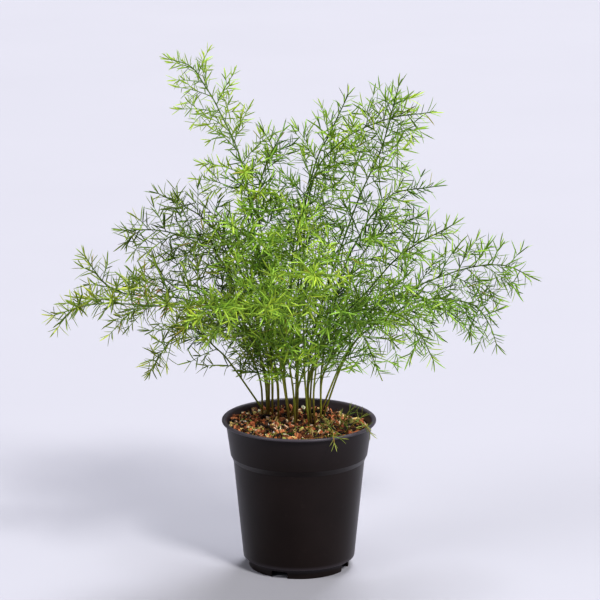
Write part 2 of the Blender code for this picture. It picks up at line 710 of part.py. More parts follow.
def raise_branch(bm, clearance, stem, branch, root, luck):
    """Raise a three-sided side branch with its needles out of three corners on the stem."""
    twig = branch.twig
    skip = (branch.number,)
    foot = (stem.radius(branch.start) + BRANCH_FOOT) * MM
    place, _, side, across = twig.at(foot)
    towards = np.array(root[0].co) - place
    turn = math.atan2(towards @ across, towards @ side)
    lower = ring_at(bm, twig, foot, BRANCH_RADIUS, turn, 3)
    close_sides(bm, root, lower)
    half = 0.5 * NODE_LENGTH * MM
    for stop in leaf_stops(branch, stem.young):
        start_ring = ring_at(bm, twig, stop - half, BRANCH_RADIUS, turn, 3)
        end_ring = ring_at(bm, twig, stop + half, BRANCH_RADIUS, turn, 3)
        close_sides(bm, lower, start_ring)
        forward = twig.at(stop)[1]
        raise_needles(bm, clearance, stem, skip, start_ring, end_ring, forward, range(3), luck)
        lower = end_ring
        turn += math.pi / 3.0
    point_tip(bm, lower, end_point(clearance, stem, skip, twig))


def make_leafy_stem(stem, clearance, material):
    """One leafy stem: a four-sided stem raised ring by ring, with its side branches and needles."""
    bm = bmesh.new()
    luck = random.Random(1000 + stem.number)
    twig = stem.twig
    quarter = math.pi / 2.0
    turn = quarter / 2.0
    half = 0.5 * STEM_NODE_LENGTH * MM
    stops = stem_stops(stem)
    lower = ring_at(bm, twig, 0.0, stem.radius(0.0), turn, 4)
    bm.faces.new(lower[::-1])
    for distance, branch in stops[1:-1]:
        radius = stem.radius(distance)
        if branch is None:
            upper = ring_at(bm, twig, distance, radius, turn, 4)
            close_sides(bm, lower, upper)
            lower = upper
            continue
        face = round((branch.azimuth - quarter / 2.0 - turn) / quarter)
        turn = branch.azimuth - quarter / 2.0 - face * quarter
        start_ring = ring_at(bm, twig, distance - half, radius, turn, 4)
        end_ring = ring_at(bm, twig, distance + half, radius, turn, 4)
        close_sides(bm, lower, start_ring)
        a, b, c, d = side_corners(start_ring, end_ring, face % 4)
        bm.faces.new((a, c, d))
        raise_branch(bm, clearance, stem, branch, [a, b, c], luck)
        others = [k for k in range(4) if k != face % 4]
        skip = (0, branch.number)
        raise_needles(bm, clearance, stem, skip, start_ring, end_ring, twig.at(distance)[1], others, luck)
        lower = end_ring
    last = stops[-1][0]
    start_ring = ring_at(bm, twig, last - half, stem.radius(last), turn, 4)
    end_ring = ring_at(bm, twig, last + half, stem.radius(last), turn, 4)
    close_sides(bm, lower, start_ring)
    raise_needles(bm, clearance, stem, (0,), start_ring, end_ring, twig.at(last)[1], range(4), luck)
    point_tip(bm, end_ring, end_point(clearance, stem, (0,), twig))
    bmesh.ops.triangulate(bm, faces=bm.faces)
    return object_from(stem.name, bm, material, 40.0)


def make_plant(stems):
    """All the leafy stems, whose needles keep clear of every twig that is drawn."""
    foliage = plain_material("foliage", (0.18, 0.36, 0.07), 0.6)
    clearance = Clearance()
    for stem in stems:
        rings = [stem.twig.at(distance)[0] for distance, _ in stem_stops(stem)] + [stem.twig.path[-1]]
        clearance.add(rings, stem.radius(0.0) * MM, stem.number, 0)
        for branch in drawn_branches(stem):
            stops = (0.0, *leaf_stops(branch, stem.young), branch.twig.length)
            rings = [branch.twig.at(distance)[0] for distance in stops]
            clearance.add(rings, BRANCH_RADIUS * MM, stem.number, branch.number)
    for stem in stems:
        make_leafy_stem(stem, clearance, foliage)


def main():
    clear_scene()
    stems = grow_plant()
    make_pot()
    make_mix(stems)
    make_plant(stems)


main()
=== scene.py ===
"""Potted asparagus fern, dressed: wiry stems full of fine needle leaves in a round nursery pot.

The frame is in metres. Sizes and places below are in millimetres, angles in degrees.
"""

import itertools
import math
import random
from collections import namedtuple

import bmesh
import bpy
import numpy as np
from mathutils import Matrix, Vector, noise


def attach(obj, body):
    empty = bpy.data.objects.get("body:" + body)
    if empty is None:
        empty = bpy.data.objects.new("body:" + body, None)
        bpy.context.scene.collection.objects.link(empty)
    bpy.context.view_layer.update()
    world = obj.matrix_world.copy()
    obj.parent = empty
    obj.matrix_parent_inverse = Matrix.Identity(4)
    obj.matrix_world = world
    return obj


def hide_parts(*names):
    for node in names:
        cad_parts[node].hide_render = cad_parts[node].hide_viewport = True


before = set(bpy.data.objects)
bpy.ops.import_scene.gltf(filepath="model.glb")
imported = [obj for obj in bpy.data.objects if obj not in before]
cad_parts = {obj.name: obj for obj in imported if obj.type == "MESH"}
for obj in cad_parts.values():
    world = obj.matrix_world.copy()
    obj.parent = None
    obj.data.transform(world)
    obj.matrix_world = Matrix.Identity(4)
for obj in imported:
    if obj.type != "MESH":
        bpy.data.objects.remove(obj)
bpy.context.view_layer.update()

MM = 0.001

# Pot, from the surface it stands on
POT_HEIGHT = 124.5
LIP_RADIUS = 63.2
LIP_HEIGHT = 2.4
COLLAR_TOP_RADIUS = 59.8
COLLAR_FOOT_RADIUS = 56.2
COLLAR_FOOT_HEIGHT = 95.5
STEP_RADIUS = 53.8
STEP_FOOT_HEIGHT = 90.0
BODY_FOOT_RADIUS = 45.9
FOOT_RADIUS = 41.3
FOOT_HEIGHT = 8.2
FLOOR_LEVEL = 8.8
WALL = 1.4
COLLAR_WALL = 0.8
LIP_FLARE = 2.4
LIP_EDGE = 1.15
LIP_UNDERSIDE = 0.9
COLLAR_ROUNDING = 0.75
STEP_ROUNDING = 0.95
BASE_ROUNDING = 0.8
FOOT_ROUNDING = 0.35
FLOOR_ROUNDING = 1.6
POT_SIDES = 144
SHARP_ANGLE = 38.0
DRAIN_COUNT = 4
DRAIN_FIRST_ANGLE = -113.0
NOTCH_WIDTH = 14.0
NOTCH_HEIGHT = 5.4
NOTCH_DEPTH = 8.0
NOTCH_ROUNDING = 1.2
DRAIN_HOLE_RADIUS = 4.5
DRAIN_HOLE_DEPTH = 6.0
DRAIN_HOLE_SIDES = 32
DRAIN_HOLE_DISTANCE = 29.0

# Painted highlight bands on the plastic's edges, standing in for reflections: height in millimetres and how
# much
PAINTED_HIGHLIGHT_LEVELS = (
    (7.6, 0.0), (8.4, 0.90), (9.4, 0.0), (94.6, 0.0), (95.4, 0.10), (96.6, 0.0), (123.1, 0.05), (124.0, 0.60),
)

# Potting mix
MIX_LEVEL = 114.5
MIX_EDGE_LEVEL = 113.0
MIX_MOUND = 2.4
MIX_TILT = 0.035
MIX_DROP = 0.8
WALL_RISE = 2.6
MIX_RINGS = 26
MIX_SIDES = 96
GAP = 0.35
FALLEN_COUNT = 190
FIBRE_COUNT = 90
FALLEN_REACH = 46.0
FALLEN_EDGE = (-70.0, 20.0)
FALLEN_LENGTH = (6.0, 11.0)
FALLEN_LIFT = (1.4, 3.0)
FALLEN_WIDTH = (0.6, 0.95)
FIBRE_WIDTH = (0.45, 0.7)
FALLEN_ODDS = (0.4, 0.25, 0.25, 0.1)
FIBRE_ODDS = (0.1, 0.1, 0.25, 0.55)
PALEST_CHIP = 0.90
CHIP_SHADES = (0.5, 1.7)
CHIP_ROUGHNESS = 0.22
STEM_ROOM = 1.3

# Waves in the mix's surface: height and fineness, and where in the noise they are read
MIX_WAVES = ((1.5, 0.09, 3.1), (0.8, 0.31, 7.7))

# Loose pieces: how many, sizes, flatness, seed, how high they lie and how often each colour
CHIPS = (4200, (1.6, 5.4), 0.22, 21, (-0.5, 1.4), (0.12, 0.17, 0.15, 0.18, 0.05, 0.18, 0.09, 0.06))
GRAINS = (2200, (1.0, 2.4), 0.6, 22, (0.2, 1.8), (0.14, 0.12, 0.10, 0.14, 0.22, 0.12, 0.10, 0.06))
GRANULES = (230, (1.3, 3.0), 0.6, 23, (0.3, 1.5), (0.4, 0.35, 0.25))

# Stems and side branches, as in the solids
ROOT_DEPTH = 24.0
STRAIGHT_RISE = 5.0
BARE_RISE = 44.0
SHOOT_BARE_RISE = 8.0
STEM_ROOT_RADIUS = 1.2
SHOOT_RADIUS = 0.75
BRANCH_RADIUS = 0.55
PATH_STEP = 8.0
SHOOT_PATH_STEP = 1.5
BRANCH_SPACING = 9.5
SHOOT_BRANCH_SPACING = 12.0
BRANCH_STEPS = 5
SHORTEST_BRANCH = 5.0
BRANCH_ANGLE = 57.0
LONG_BRANCH = 30.0
BRANCH_SAG = 0.16
BRANCH_LIFT = 0.20
TIP_WITHOUT_BRANCH = 14.0
SHOOT_TIP_WITHOUT_BRANCH = 4.0
CLEAR_OF_ROOT = 8.0
BRANCH_SPRAY = 40.0
LOWEST_LEAF = 154.0
LOWEST_LEAF_BEHIND = 147.0
LOWEST_LEAF_SLOPE = 0.26
FOOT_BRANCH_SHARE = 0.62
FOOT_BRANCH_GROWTH = 1.2
TIP_BRANCH_SHARE = 0.30
TIP_BRANCH_GROWTH = 1.9
FOOT_SPACING = 1.25
TIP_SPACING = 0.70
SHOOT_LOWEST_LEAF = 119.5
SHOOT_ROOM = 1.5
TWIG_ROOM = 2.2
LENGTH_LUCK = 0.15
POT_TESTS = 7
SHORTER_TRIES = (1.0, 0.8, 0.6)
SWING_TRIES = (0, 25, -25, 50, -50, 80, -80)

# Needles and fine stems
GOLDEN_ANGLE = 137.5
FIRST_NODE = 2.6
FIRST_NODE_LUCK = 1.5
NODE_GAP = 3.3
SHOOT_NODE_GAP = 1.6
NODE_GAP_GROWTH = 2.2
STEM_NODE_GAP = 4.0
SHOOT_STEM_NODE_GAP = 1.8
SHOOT_FIRST_NODE = 8.0
END_NODE_GAP = 2.7
END_TUFT = 20.0
NEEDLE_LENGTH = 10.8
NEEDLE_GROWTH = 11.0
OLDEST_GROWTH = 0.42
NEEDLE_WIDTH = 1.16
DRY_SHARE = 0.010
DRY_SHARE_LEFT = 0.035
DRY_PATCH = np.array([-122.0, 14.0, 212.0])
DRY_PATCH_REACH = 24.0
DRY_PATCH_SHARE = 0.8
DRY_LUCK = (0.6, 1.4)
AIRY_GAP = 1.45
CLOSE_GAP = 0.80
DULLEST_NEEDLE = 0.15
BRIGHTEST_NEEDLE = 1.65
# Painted shade: how dark needles are at the foot of their twig, inside the bush
PAINTED_INNER_SHADE = 0.68
PALEST_NEEDLE = 0.74
# Painted highlight: how far the brightest needles are paled towards white
NEEDLE_PAINTED_HIGHLIGHT = 0.14
YOUNG_EVENNESS = 0.5
AGEING = np.array([0.58, 0.80, 0.80])
INNER_RISE = 15.0
INNER_MIDDLE = 18.0
INNER_REACH = 58.0
YOUNG_NEEDLE_WIDTH = 0.62
YOUNG_NEEDLE_SHADE = np.array([0.62, 0.52, 1.0])
OLIVE_SHADE = np.array([0.74, 0.64, 0.70])
NEEDLE_THICKNESS = 0.5
NEEDLE_LEAN = 58.0
NEEDLE_FAN = 78.0
NEEDLE_RISE = 0.10
ANGLE_LUCK = 16.0
ROLL_LUCK = 0.7
TURN_LUCK = 20.0
GAP_LUCK = (0.8, 1.2)
NEEDLE_LUCK = (0.78, 1.16)
NEEDLE_BEND = (-0.08, 0.10)
AGE_LUCK = 0.16
FRESHER_ENDS = 0.22
SHOOT_NEEDLE_SIZE = 0.9
TUFT_ODDS = (0.22, 0.42, 0.28, 0.08)
STEM_TUFT_ODDS = (0.25, 0.45, 0.30)
LEAFY_TOP = 55.0
NODE_SWELLING = 1.16
NODE_REACH = 1.6
TWIG_BARE_END = 1.5
TWIG_TAPER = 0.28
END_SIZE = 0.78
END_LEAN = 27.0
STEM_TAPER = 0.2
TIP_SIZE = 0.75
TIP_LEAN = 24.0
FINE_TWIG_STEP = 5.0
FINE_STEM_STEP = 4.0
FINE_STEM_ROOT = 0.85
FINE_SHOOT_ROOT = 0.5
BROWN_REACH = (8.0, 46.0)
OLIVE_FROM = 2.0
GREEN_FROM = 30.0
GREEN_REACH = 60.0
STEM_SHADES = (0.6, 1.3)
TOP_RADIUS = 0.6
FINE_STEM_TIP = 0.42
FINE_BRANCH_ROOT = 0.42
FINE_BRANCH_TIP = 0.26
LEAST_FOR_SIDE_TWIG = 22.0
SIDE_TWIG_PLACES = (0.35, 0.62)
SIDE_TWIG_SHARE = 0.45
SIDE_TWIG_ANGLE = 48.0
SIDE_TWIG_SAG = 0.10
SIDE_TWIG_SHIFT = 0.06
SIDE_TWIG_SWING = 0.6
BRACT_LENGTH = (1.3, 2.0)
BRACT_HALF_WIDTH = 0.55
BRACT_DROP = 0.6

# A needle along its length: how far along, how broad, how thick and how bright
NEEDLE_SHAPE = (
    (0.0, 0.48, 0.55, 0.80), (0.16, 0.88, 0.9, 0.95), (0.45, 1.0, 1.0, 1.0), (0.78, 0.80, 0.8, 1.08),
)

# Leafy stems: name, foot on the mix, its side branches' length, its age, its habit and the points it passes
LEAFY_STEMS = (
    ("tall_left", (-22, 34), 45, 0.1, "full", (-23, 32, 158), (-30, 22, 222), (-44, 18, 325),
     (-64, 18, 376), (-77, 13, 400), (-86, 8, 414), (-103, 5, 420)),
    ("top_arching", (-2, 20), 43, 0.35, "airy full", (-1, 18, 152), (1, 14, 221), (10, 22, 314),
     (34, 18, 351), (70, 8, 371), (104, -6, 379)),
    ("top_right", (-6, 24), 46, 0.35, "airy full", (0, 27, 146), (5, 26, 162), (20, 12, 222), (47, 8, 303),
     (66, 0, 349), (79, -6, 400)),
    ("top_centre", (-8, 29), 35, 0.4, "airy full", (-12, 28, 156), (-9, 34, 217), (11, 52, 318),
     (26, 56, 352), (40, 58, 382)),
    ("right_upper", (18, 38), 30, 0.7, "airy full", (19, 38, 158), (29, 38, 217), (48, 46, 264),
     (74, 52, 299), (110, 52, 307)),
    ("right_long", (21, 33), 39, 0.45, "full", (35, 26, 162), (48, 22, 186), (72, 32, 215), (132, 66, 233),
     (170, 78, 235), (192, 82, 225)),
    ("right_middle", (9, 17), 33, 0.4, "airy", (8, 12, 156), (26, -14, 203), (54, -38, 240), (81, -52, 274),
     (120, -64, 300)),
    ("right_drooping", (19, 44), 32, 0.5, "", (36, 40, 163), (50, 36, 184), (72, 36, 201), (104, 46, 213),
     (142, 58, 207), (158, 64, 189), (165, 66, 170)),
    ("lower_right", (10, 10), 36, 0.4, "airy", (8, 2, 154), (22, -28, 193), (43, -48, 225), (68, -68, 232),
     (90, -82, 224), (105, -90, 198)),
    ("front_right", (13, -2), 36, 0.5, "airy", (12, -14, 152), (17, -38, 195), (29, -62, 226),
     (46, -86, 224), (65, -102, 184)),
    ("front_centre", (8, 2), 40, 0.2, "airy", (5, -8, 156), (4, -36, 195), (4, -66, 241), (8, -104, 269),
     (13, -149, 279)),
    ("front_low", (-3, 4), 36, 0.3, "", (-5, -6, 152), (-10, -42, 192), (-17, -76, 230), (-22, -110, 250),
     (-26, -150, 248)),
    ("front_left", (-17, 13), 40, 0.25, "", (-18, 4, 154), (-30, -30, 197), (-49, -58, 231),
     (-64, -88, 246), (-78, -126, 240)),
    ("far_left", (-25, 25), 38, 0.3, "close olive", (-27, 16, 156), (-41, -14, 199), (-82, -44, 226),
     (-122, -70, 237), (-160, -92, 243), (-190, -108, 238)),
    ("far_left_upper", (-30, 21), 28, 0.4, "close olive dry", (-33, 18, 156), (-54, 2, 204),
     (-92, -22, 230), (-126, -43, 238), (-150, -57, 248), (-168, -68, 276)),
    ("lower_left", (-29, 38), 28, 0.3, "olive", (-57, 29, 164), (-68, 18, 179), (-86, -12, 203),
     (-102, -40, 201), (-118, -60, 180)),
    ("left_middle", (-26, 30), 42, 0.5, "close olive dry", (-29, 27, 156), (-42, 14, 206), (-55, 6, 240),
     (-80, 8, 268), (-110, 6, 280), (-142, 4, 281)),
    ("left_inner", (-17, 21), 38, 0.7, "olive dry", (-18, 18, 154), (-30, 11, 179), (-48, 19, 198),
     (-70, 24, 222), (-100, 22, 235), (-132, 20, 237)),
    ("left_upper", (-22, 39), 38, 0.5, "full olive", (-23, 40, 156), (-36, 40, 202), (-50, 42, 244),
     (-76, 46, 280), (-115, 48, 302)),
    ("upper_front", (-2, 12), 40, 0.3, "airy", (-1, 4, 152), (-5, -20, 204), (-6, -38, 253), (-3, -58, 292),
     (4, -92, 318)),
    ("upper_front_left", (-8, 9), 40, 0.35, "", (-13, 3, 156), (-20, -18, 203), (-29, -34, 252),
     (-40, -52, 286), (-54, -84, 306)),
    ("back_left", (-17, 37), 40, 0.8, "airy", (-19, 42, 152), (-27, 50, 189), (-45, 72, 224),
     (-70, 106, 246), (-98, 138, 246)),
    ("back_centre", (-3, 36), 40, 0.9, "airy", (-2, 44, 152), (-1, 56, 191), (0, 88, 235), (2, 120, 262),
     (5, 151, 268)),
    ("back_right", (9, 33), 40, 0.8, "airy", (11, 42, 150), (20, 52, 192), (43, 80, 228), (68, 112, 254),
     (101, 143, 262)),
    ("back_low_left", (-25, 43), 38, 0.9, "airy", (-25, 49, 152), (-29, 62, 174), (-45, 88, 192),
     (-78, 132, 188)),
    ("back_low_right", (6, 39), 38, 0.9, "airy", (8, 49, 151), (13, 64, 174), (39, 92, 192),
     (82, 136, 190)),
    ("right_low", (18, 28), 36, 0.6, "airy", (20, 22, 156), (38, 4, 190), (64, 0, 220), (99, 2, 226),
     (130, 2, 205)),
    ("inner_left", (-8, 16), 40, 0.6, "full", (-12, 13, 156), (-17, 12, 204), (-25, 12, 252),
     (-33, 12, 296), (-28, 10, 330), (-13, 8, 361)),
)

# Young shoots: the same, for the short ones close to the rim
YOUNG_SHOOTS = (
    ("young_shoot_over_rim", (38, -24), 7, 0.2, "", (45, -31, 129), (52, -39, 131), (57, -46, 126)),
    ("young_shoot_front", (24, -38), 7, 0.1, "", (26, -45, 127), (27, -56, 130), (28, -65, 123)),
    ("young_shoot_upright", (33, -10), 7, 0.2, "", (36, -12, 126), (41, -15, 135)),
)

# Colours, as linear light
YOUNG_GREEN = np.array([0.56, 0.73, 0.095])
OLD_GREEN = np.array([0.030, 0.100, 0.004])
DRY_YELLOW = np.array([0.48, 0.33, 0.085])
DRY_BROWN = np.array([0.70, 0.36, 0.15])
STEM_GREEN = np.array([0.13, 0.21, 0.045])
STEM_OLIVE = np.array([0.46, 0.50, 0.10])
STEM_BROWN = np.array([0.20, 0.085, 0.035])
HUSK_COLOURS = np.array([
    [0.52, 0.200, 0.090], [0.36, 0.110, 0.045], [0.16, 0.055, 0.022], [0.035, 0.013, 0.007],
    [0.86, 0.58, 0.40], [0.009, 0.005, 0.004], [0.55, 0.40, 0.16], [0.36, 0.34, 0.09],
])
PALE_COLOURS = np.array([[0.78, 0.66, 0.56], [0.70, 0.50, 0.40], [0.82, 0.78, 0.70]])
CRUMB_COLOURS = ((0.35, (0.010, 0.006, 0.006)), (0.55, (0.060, 0.028, 0.014)), (0.72, (0.20, 0.085, 0.035)))
PLASTIC_DARK = (0.0080, 0.0042, 0.0034)
PLASTIC_PALE = (0.0125, 0.0070, 0.0062)
PLASTIC_DUST = (0.15, 0.115, 0.105)
# Painted highlight on the plastic's edges
PLASTIC_PAINTED_HIGHLIGHT = (0.17, 0.155, 0.19)
# Painted sheen on the pot's inner wall
PLASTIC_INSIDE_SHEEN = (0.085, 0.072, 0.090)

# Suns: name, heading, height and softness in degrees, power and colour
SUNS = (
    ("window", 160.0, 58.0, 24.0, 2.8, (0.97, 0.97, 1.0)),
    ("front", 35.0, 46.0, 12.0, 2.4, (1.0, 0.98, 0.93)),
    ("left", -58.0, 36.0, 30.0, 0.9, (1.0, 0.99, 0.97)),
    ("right", 72.0, 12.0, 36.0, 0.55, (1.0, 0.96, 0.98)),
)

# Camera and floor: metres, degrees, and the picture's width and focal length in pixels
FLOOR_REACH = 14.0
CAMERA_DISTANCE = 2.4
CAMERA_PITCH = 13.7
CAMERA_AIM = (0.0, 0.0, 0.224)
FOCAL_PIXELS = 2963.0
PICTURE_PIXELS = 600.0
SENSOR_WIDTH = 36.0


def unit(vector):
    """The vector at length one."""
    return vector / np.linalg.norm(vector)


def units(vectors):
    """Every row at length one."""
    return vectors / np.linalg.norm(vectors, axis=1, keepdims=True)


def smooth_path(corners, spacing):
    """Evenly spaced points on a smooth curve through the corners."""
    corners = [np.array(corner, float) for corner in corners]
    padded = [2.0 * corners[0] - corners[1]] + corners + [2.0 * corners[-1] - corners[-2]]
    dense = []
    for before, start, end, after in zip(padded, padded[1:], padded[2:], padded[3:]):
        for t in np.linspace(0.0, 1.0, 12, endpoint=False):
            straight = 2.0 * start + (end - before) * t
            bend = (2.0 * before - 5.0 * start + 4.0 * end - after) * t**2
            twist = (3.0 * start - before - 3.0 * end + after) * t**3
            dense.append(0.5 * (straight + bend + twist))
    dense = np.array(dense + [corners[-1]])
    travelled = np.concatenate([[0.0], np.cumsum(np.linalg.norm(np.diff(dense, axis=0), axis=1))])
    stops = np.linspace(0.0, travelled[-1], max(3, round(travelled[-1] / spacing)))
    return np.column_stack([np.interp(stops, travelled, dense[:, k]) for k in range(3)])


class Twig:
    """A smooth line with a direction and two side axes at every point."""

    def __init__(self, path):
        self.path = path
        self.travelled = np.concatenate([[0.0], np.cumsum(np.linalg.norm(np.diff(path, axis=0), axis=1))])
        self.length = self.travelled[-1]
        self.forward = np.array([unit(step) for step in np.gradient(path, axis=0)])
        helper = np.array([1.0, 0.0, 0.0])
        if abs(self.forward[0][0]) > 0.8:
            helper = np.array([0.0, 1.0, 0.0])
        sides = []
        for forward in self.forward:
            helper = unit(helper - (helper @ forward) * forward)
            sides.append(helper)
        self.side = np.array(sides)

    def at(self, distance):
        """The place, direction and side axes at a distance along the line."""
        place, forward, side = (
            np.array([np.interp(distance, self.travelled, rows[:, k]) for k in range(3)])
            for rows in (self.path, self.forward, self.side)
        )
        forward = unit(forward)
        side = unit(side - (side @ forward) * forward)
        return place, forward, side, np.cross(forward, side)


class Clearance:
    """The straight pieces of every twig so far, with radius, stem and twig."""

    def __init__(self):
        self.starts = np.empty((0, 3))
        self.ends = np.empty((0, 3))
        self.marks = np.empty((0, 3))

    def add(self, points, radius, stem, twig):
        """Keep the pieces between neighbouring points."""
        self.starts = np.vstack([self.starts, points[:-1]])
        self.ends = np.vstack([self.ends, points[1:]])
        self.marks = np.vstack([self.marks, np.tile([radius, stem, twig], (len(points) - 1, 1))])

    def gaps(self, start, end):
        """How far the line from start to end passes from each kept piece."""
        along = end - start
        others = self.ends - self.starts
        offset = start - self.starts
        own_square = along @ along
        squares = np.einsum("ij,ij->i", others, others)
        shares = np.einsum("ij,ij->i", others, offset)
        leans = offset @ along
        cross = others @ along
        spread = np.maximum(own_square * squares - cross * cross, 1e-18)
        s = np.clip((cross * shares - leans * squares) / spread, 0.0, 1.0)
        t = (cross * s + shares) / squares
        s = np.where(t < 0.0, np.clip(-leans / own_square, 0.0, 1.0), s)
        s = np.where(t > 1.0, np.clip((cross - leans) / own_square, 0.0, 1.0), s)
        t = np.clip(t, 0.0, 1.0)
        apart = start + s[:, None] * along - self.starts - t[:, None] * others
        return np.sqrt(np.einsum("ij,ij->i", apart, apart)) - self.marks[:, 0]


# A side branch: where it leaves its stem, in which direction round it, and its line
Branch = namedtuple("Branch", "start azimuth twig")


class Stem:
    """A leafy stem: its line from the buried end up, and its side branches."""

    def __init__(self, number, young, name, foot, spread, age, habit, *passes):
        self.number = number
        self.name = name
        self.foot = foot
        self.spread = spread
        self.age = age
        self.habit = habit
        self.young = young
        buried = (*foot, MIX_LEVEL - ROOT_DEPTH)
        level = (*foot, MIX_LEVEL + STRAIGHT_RISE)
        above = smooth_path([level, *passes], SHOOT_PATH_STEP if young else PATH_STEP)
        self.twig = Twig(np.vstack([[buried], above]) * MM)
        self.bare = ROOT_DEPTH + (SHOOT_BARE_RISE if young else BARE_RISE)
        self.branches = []

    def branch_length(self, start):
        """A side branch's length in millimetres, less at the foot and the tip."""
        rise = (start / MM - self.bare) / (self.twig.length / MM - self.bare)
        low = FOOT_BRANCH_SHARE + FOOT_BRANCH_GROWTH * rise
        high = TIP_BRANCH_SHARE + TIP_BRANCH_GROWTH * (1.0 - rise)
        return self.spread * min(low, 1.0, high)


def side_path(twig, start, azimuth, length, angle, lift, sag, steps):
    """The points of a twig that leaves another one and bends down towards its end."""
    place, forward, side, across = twig.at(start)
    outward = math.cos(azimuth) * side + math.sin(azimuth) * across
    lean = math.radians(angle)
    direction = unit(math.cos(lean) * forward + math.sin(lean) * outward + np.array([0.0, 0.0, lift]))
    shares = np.linspace(0.0, 1.0, steps + 1)[:, None]
    return place + length * MM * (shares * direction + shares**2 * np.array([0.0, 0.0, -sag]))


def branch_path(stem, start, azimuth, length):
    """The points of a side branch."""
    sag = BRANCH_SAG * length / LONG_BRANCH
    return side_path(stem.twig, start, azimuth, length, BRANCH_ANGLE, BRANCH_LIFT, sag, BRANCH_STEPS)


def lowest_leaf(place):
    """The least height of a leaf in metres, which rises towards the front."""
    return max(LOWEST_LEAF * MM - LOWEST_LEAF_SLOPE * place[1], LOWEST_LEAF_BEHIND * MM)


def keeps_off_pot(stem, start, end):
    """Whether a twig stays above the lowest leaf or, on a young shoot, off the pot."""
    if not stem.young:
        return start[2] > lowest_leaf(start) and end[2] > lowest_leaf(end)
    for share in np.linspace(0.0, 1.0, POT_TESTS):
        x, y, z = (start + share * (end - start)) / MM
        distance = math.hypot(x, y)
        lowest = SHOOT_LOWEST_LEAF if distance < STEP_RADIUS else POT_HEIGHT + SHOOT_ROOM
        if distance < LIP_RADIUS + SHOOT_ROOM and z < lowest:
            return False
    return True


def has_room(clearance, stem, path):
    """Whether a side branch keeps clear of the pot, other twigs and its own stem."""
    for start, end in zip(path, path[1:]):
        gaps = clearance.gaps(start, end)
        if np.linalg.norm(start - path[0]) < CLEAR_OF_ROOT * MM:
            gaps = gaps[(clearance.marks[:, 1] != stem.number) | (clearance.marks[:, 2] != 0)]
        if gaps.size and gaps.min() < (TWIG_ROOM + BRANCH_RADIUS) * MM:
            return False
    return keeps_off_pot(stem, path[1], path[-1])


def differing(luck):
    """A factor near one, by which lengths and spacings differ."""
    return luck.uniform(1.0 - LENGTH_LUCK, 1.0 + LENGTH_LUCK)


def grow_branches(stem, clearance, luck):
    """Set side branches round a stem, each turned or shortened until it has room."""
    spacing = SHOOT_BRANCH_SPACING if stem.young else BRANCH_SPACING
    start = stem.bare
    half_turns = luck.choice((0, 1))
    last = stem.twig.length / MM - (SHOOT_TIP_WITHOUT_BRANCH if stem.young else TIP_WITHOUT_BRANCH)
    while start < last:
        half_turns += 1
        turn = 180.0 * half_turns + luck.gauss(0.0, BRANCH_SPRAY)
        wish = stem.branch_length(start * MM) * differing(luck)
        for share, swing in [(share, swing) for share in SHORTER_TRIES for swing in SWING_TRIES]:
            azimuth = math.radians(turn + swing)
            path = branch_path(stem, start * MM, azimuth, max(wish * share, SHORTEST_BRANCH))
            if has_room(clearance, stem, path):
                stem.branches.append(Branch(start * MM, azimuth, Twig(path)))
                clearance.add(path, BRANCH_RADIUS * MM, stem.number, len(stem.branches))
                break
        rise = (start - stem.bare) / (stem.twig.length / MM - stem.bare)
        closeness = 1.0 if stem.young else FOOT_SPACING + (TIP_SPACING - FOOT_SPACING) * rise
        start += spacing * differing(luck) * closeness


def grow_plant():
    """Every leafy stem and young shoot with its side branches."""
    rows = enumerate(LEAFY_STEMS + YOUNG_SHOOTS)
    stems = [Stem(number, number >= len(LEAFY_STEMS), *row) for number, row in rows]
    clearance = Clearance()
    for stem in stems:
        clearance.add(stem.twig.path, (SHOOT_RADIUS if stem.young else STEM_ROOT_RADIUS) * MM, stem.number, 0)
    for stem in stems:
        grow_branches(stem, clearance, random.Random(stem.number + 1))
    return stems


def placed(name, data):
    """A new object in the scene."""
    thing = bpy.data.objects.new(name, data)
    bpy.context.scene.collection.objects.link(thing)
    return thing


class Surface:
    """Points, faces and a colour at each point, gathered shape by shape."""

    def __init__(self):
        self.points = []
        self.colours = []
        self.faces = []
        self.smooth = []
        self.count = 0

    def add(self, points, faces, colours, smooth=True):
        """Take in one more shape."""
        self.points.append(np.asarray(points, float))
        self.colours.append(np.asarray(colours, float))
        for group in faces:
            self.faces.extend((np.asarray(group) + self.count).tolist())
            self.smooth.extend([smooth] * len(group))
        self.count += len(self.points[-1])

    def piece(self, name, material, slot):
        """The finished piece, which stands with the rest of the plant."""
        mesh = bpy.data.meshes.new(name)
        mesh.from_pydata(np.vstack(self.points).tolist(), [], self.faces)
        tint = mesh.color_attributes.new("tint", "FLOAT_COLOR", "POINT")
        colours = np.vstack(self.colours)
        tint.data.foreach_set("color", np.column_stack([colours, np.ones(len(colours))]).ravel())
        mesh.polygons.foreach_set("use_smooth", np.array(self.smooth))
        mesh.materials.append(material)
        thing = placed(name, mesh)
        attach(thing, "root")
        return thing


def wound(rings, sides):
    """The faces between rings of corners, and those from the last ring to a point."""
    pairs = [(k, (k + 1) % sides) for k in range(sides)]
    last = (rings - 1) * sides
    quads = [(r + a, r + b, r + b + sides, r + a + sides) for r in range(0, last, sides) for a, b in pairs]
    return quads, [(last + a, last + b, last + sides) for a, b in pairs]


def tube(surface, twig, stops, radii, sides, colours):
    """A round twig along its line, closed flat at its start and pointed at its end."""
    angles = np.linspace(0.0, 2.0 * math.pi, sides, endpoint=False)
    points, tints = [], []
    for stop, radius, colour in zip(stops, radii, colours):
        place, _, side, across = twig.at(stop)
        spokes = np.outer(np.cos(angles), side) + np.outer(np.sin(angles), across)
        points.append(place + radius * MM * spokes)
        tints.append(np.tile(colour, (sides, 1)))
    place, forward, _, _ = twig.at(stops[-1])
    points.append([place + radii[-1] * MM * forward])
    tints.append([colours[-1]])
    quads, tips = wound(len(stops), sides)
    surface.add(np.vstack(points), [quads, tips, [tuple(range(sides))[::-1]]], np.vstack(tints))


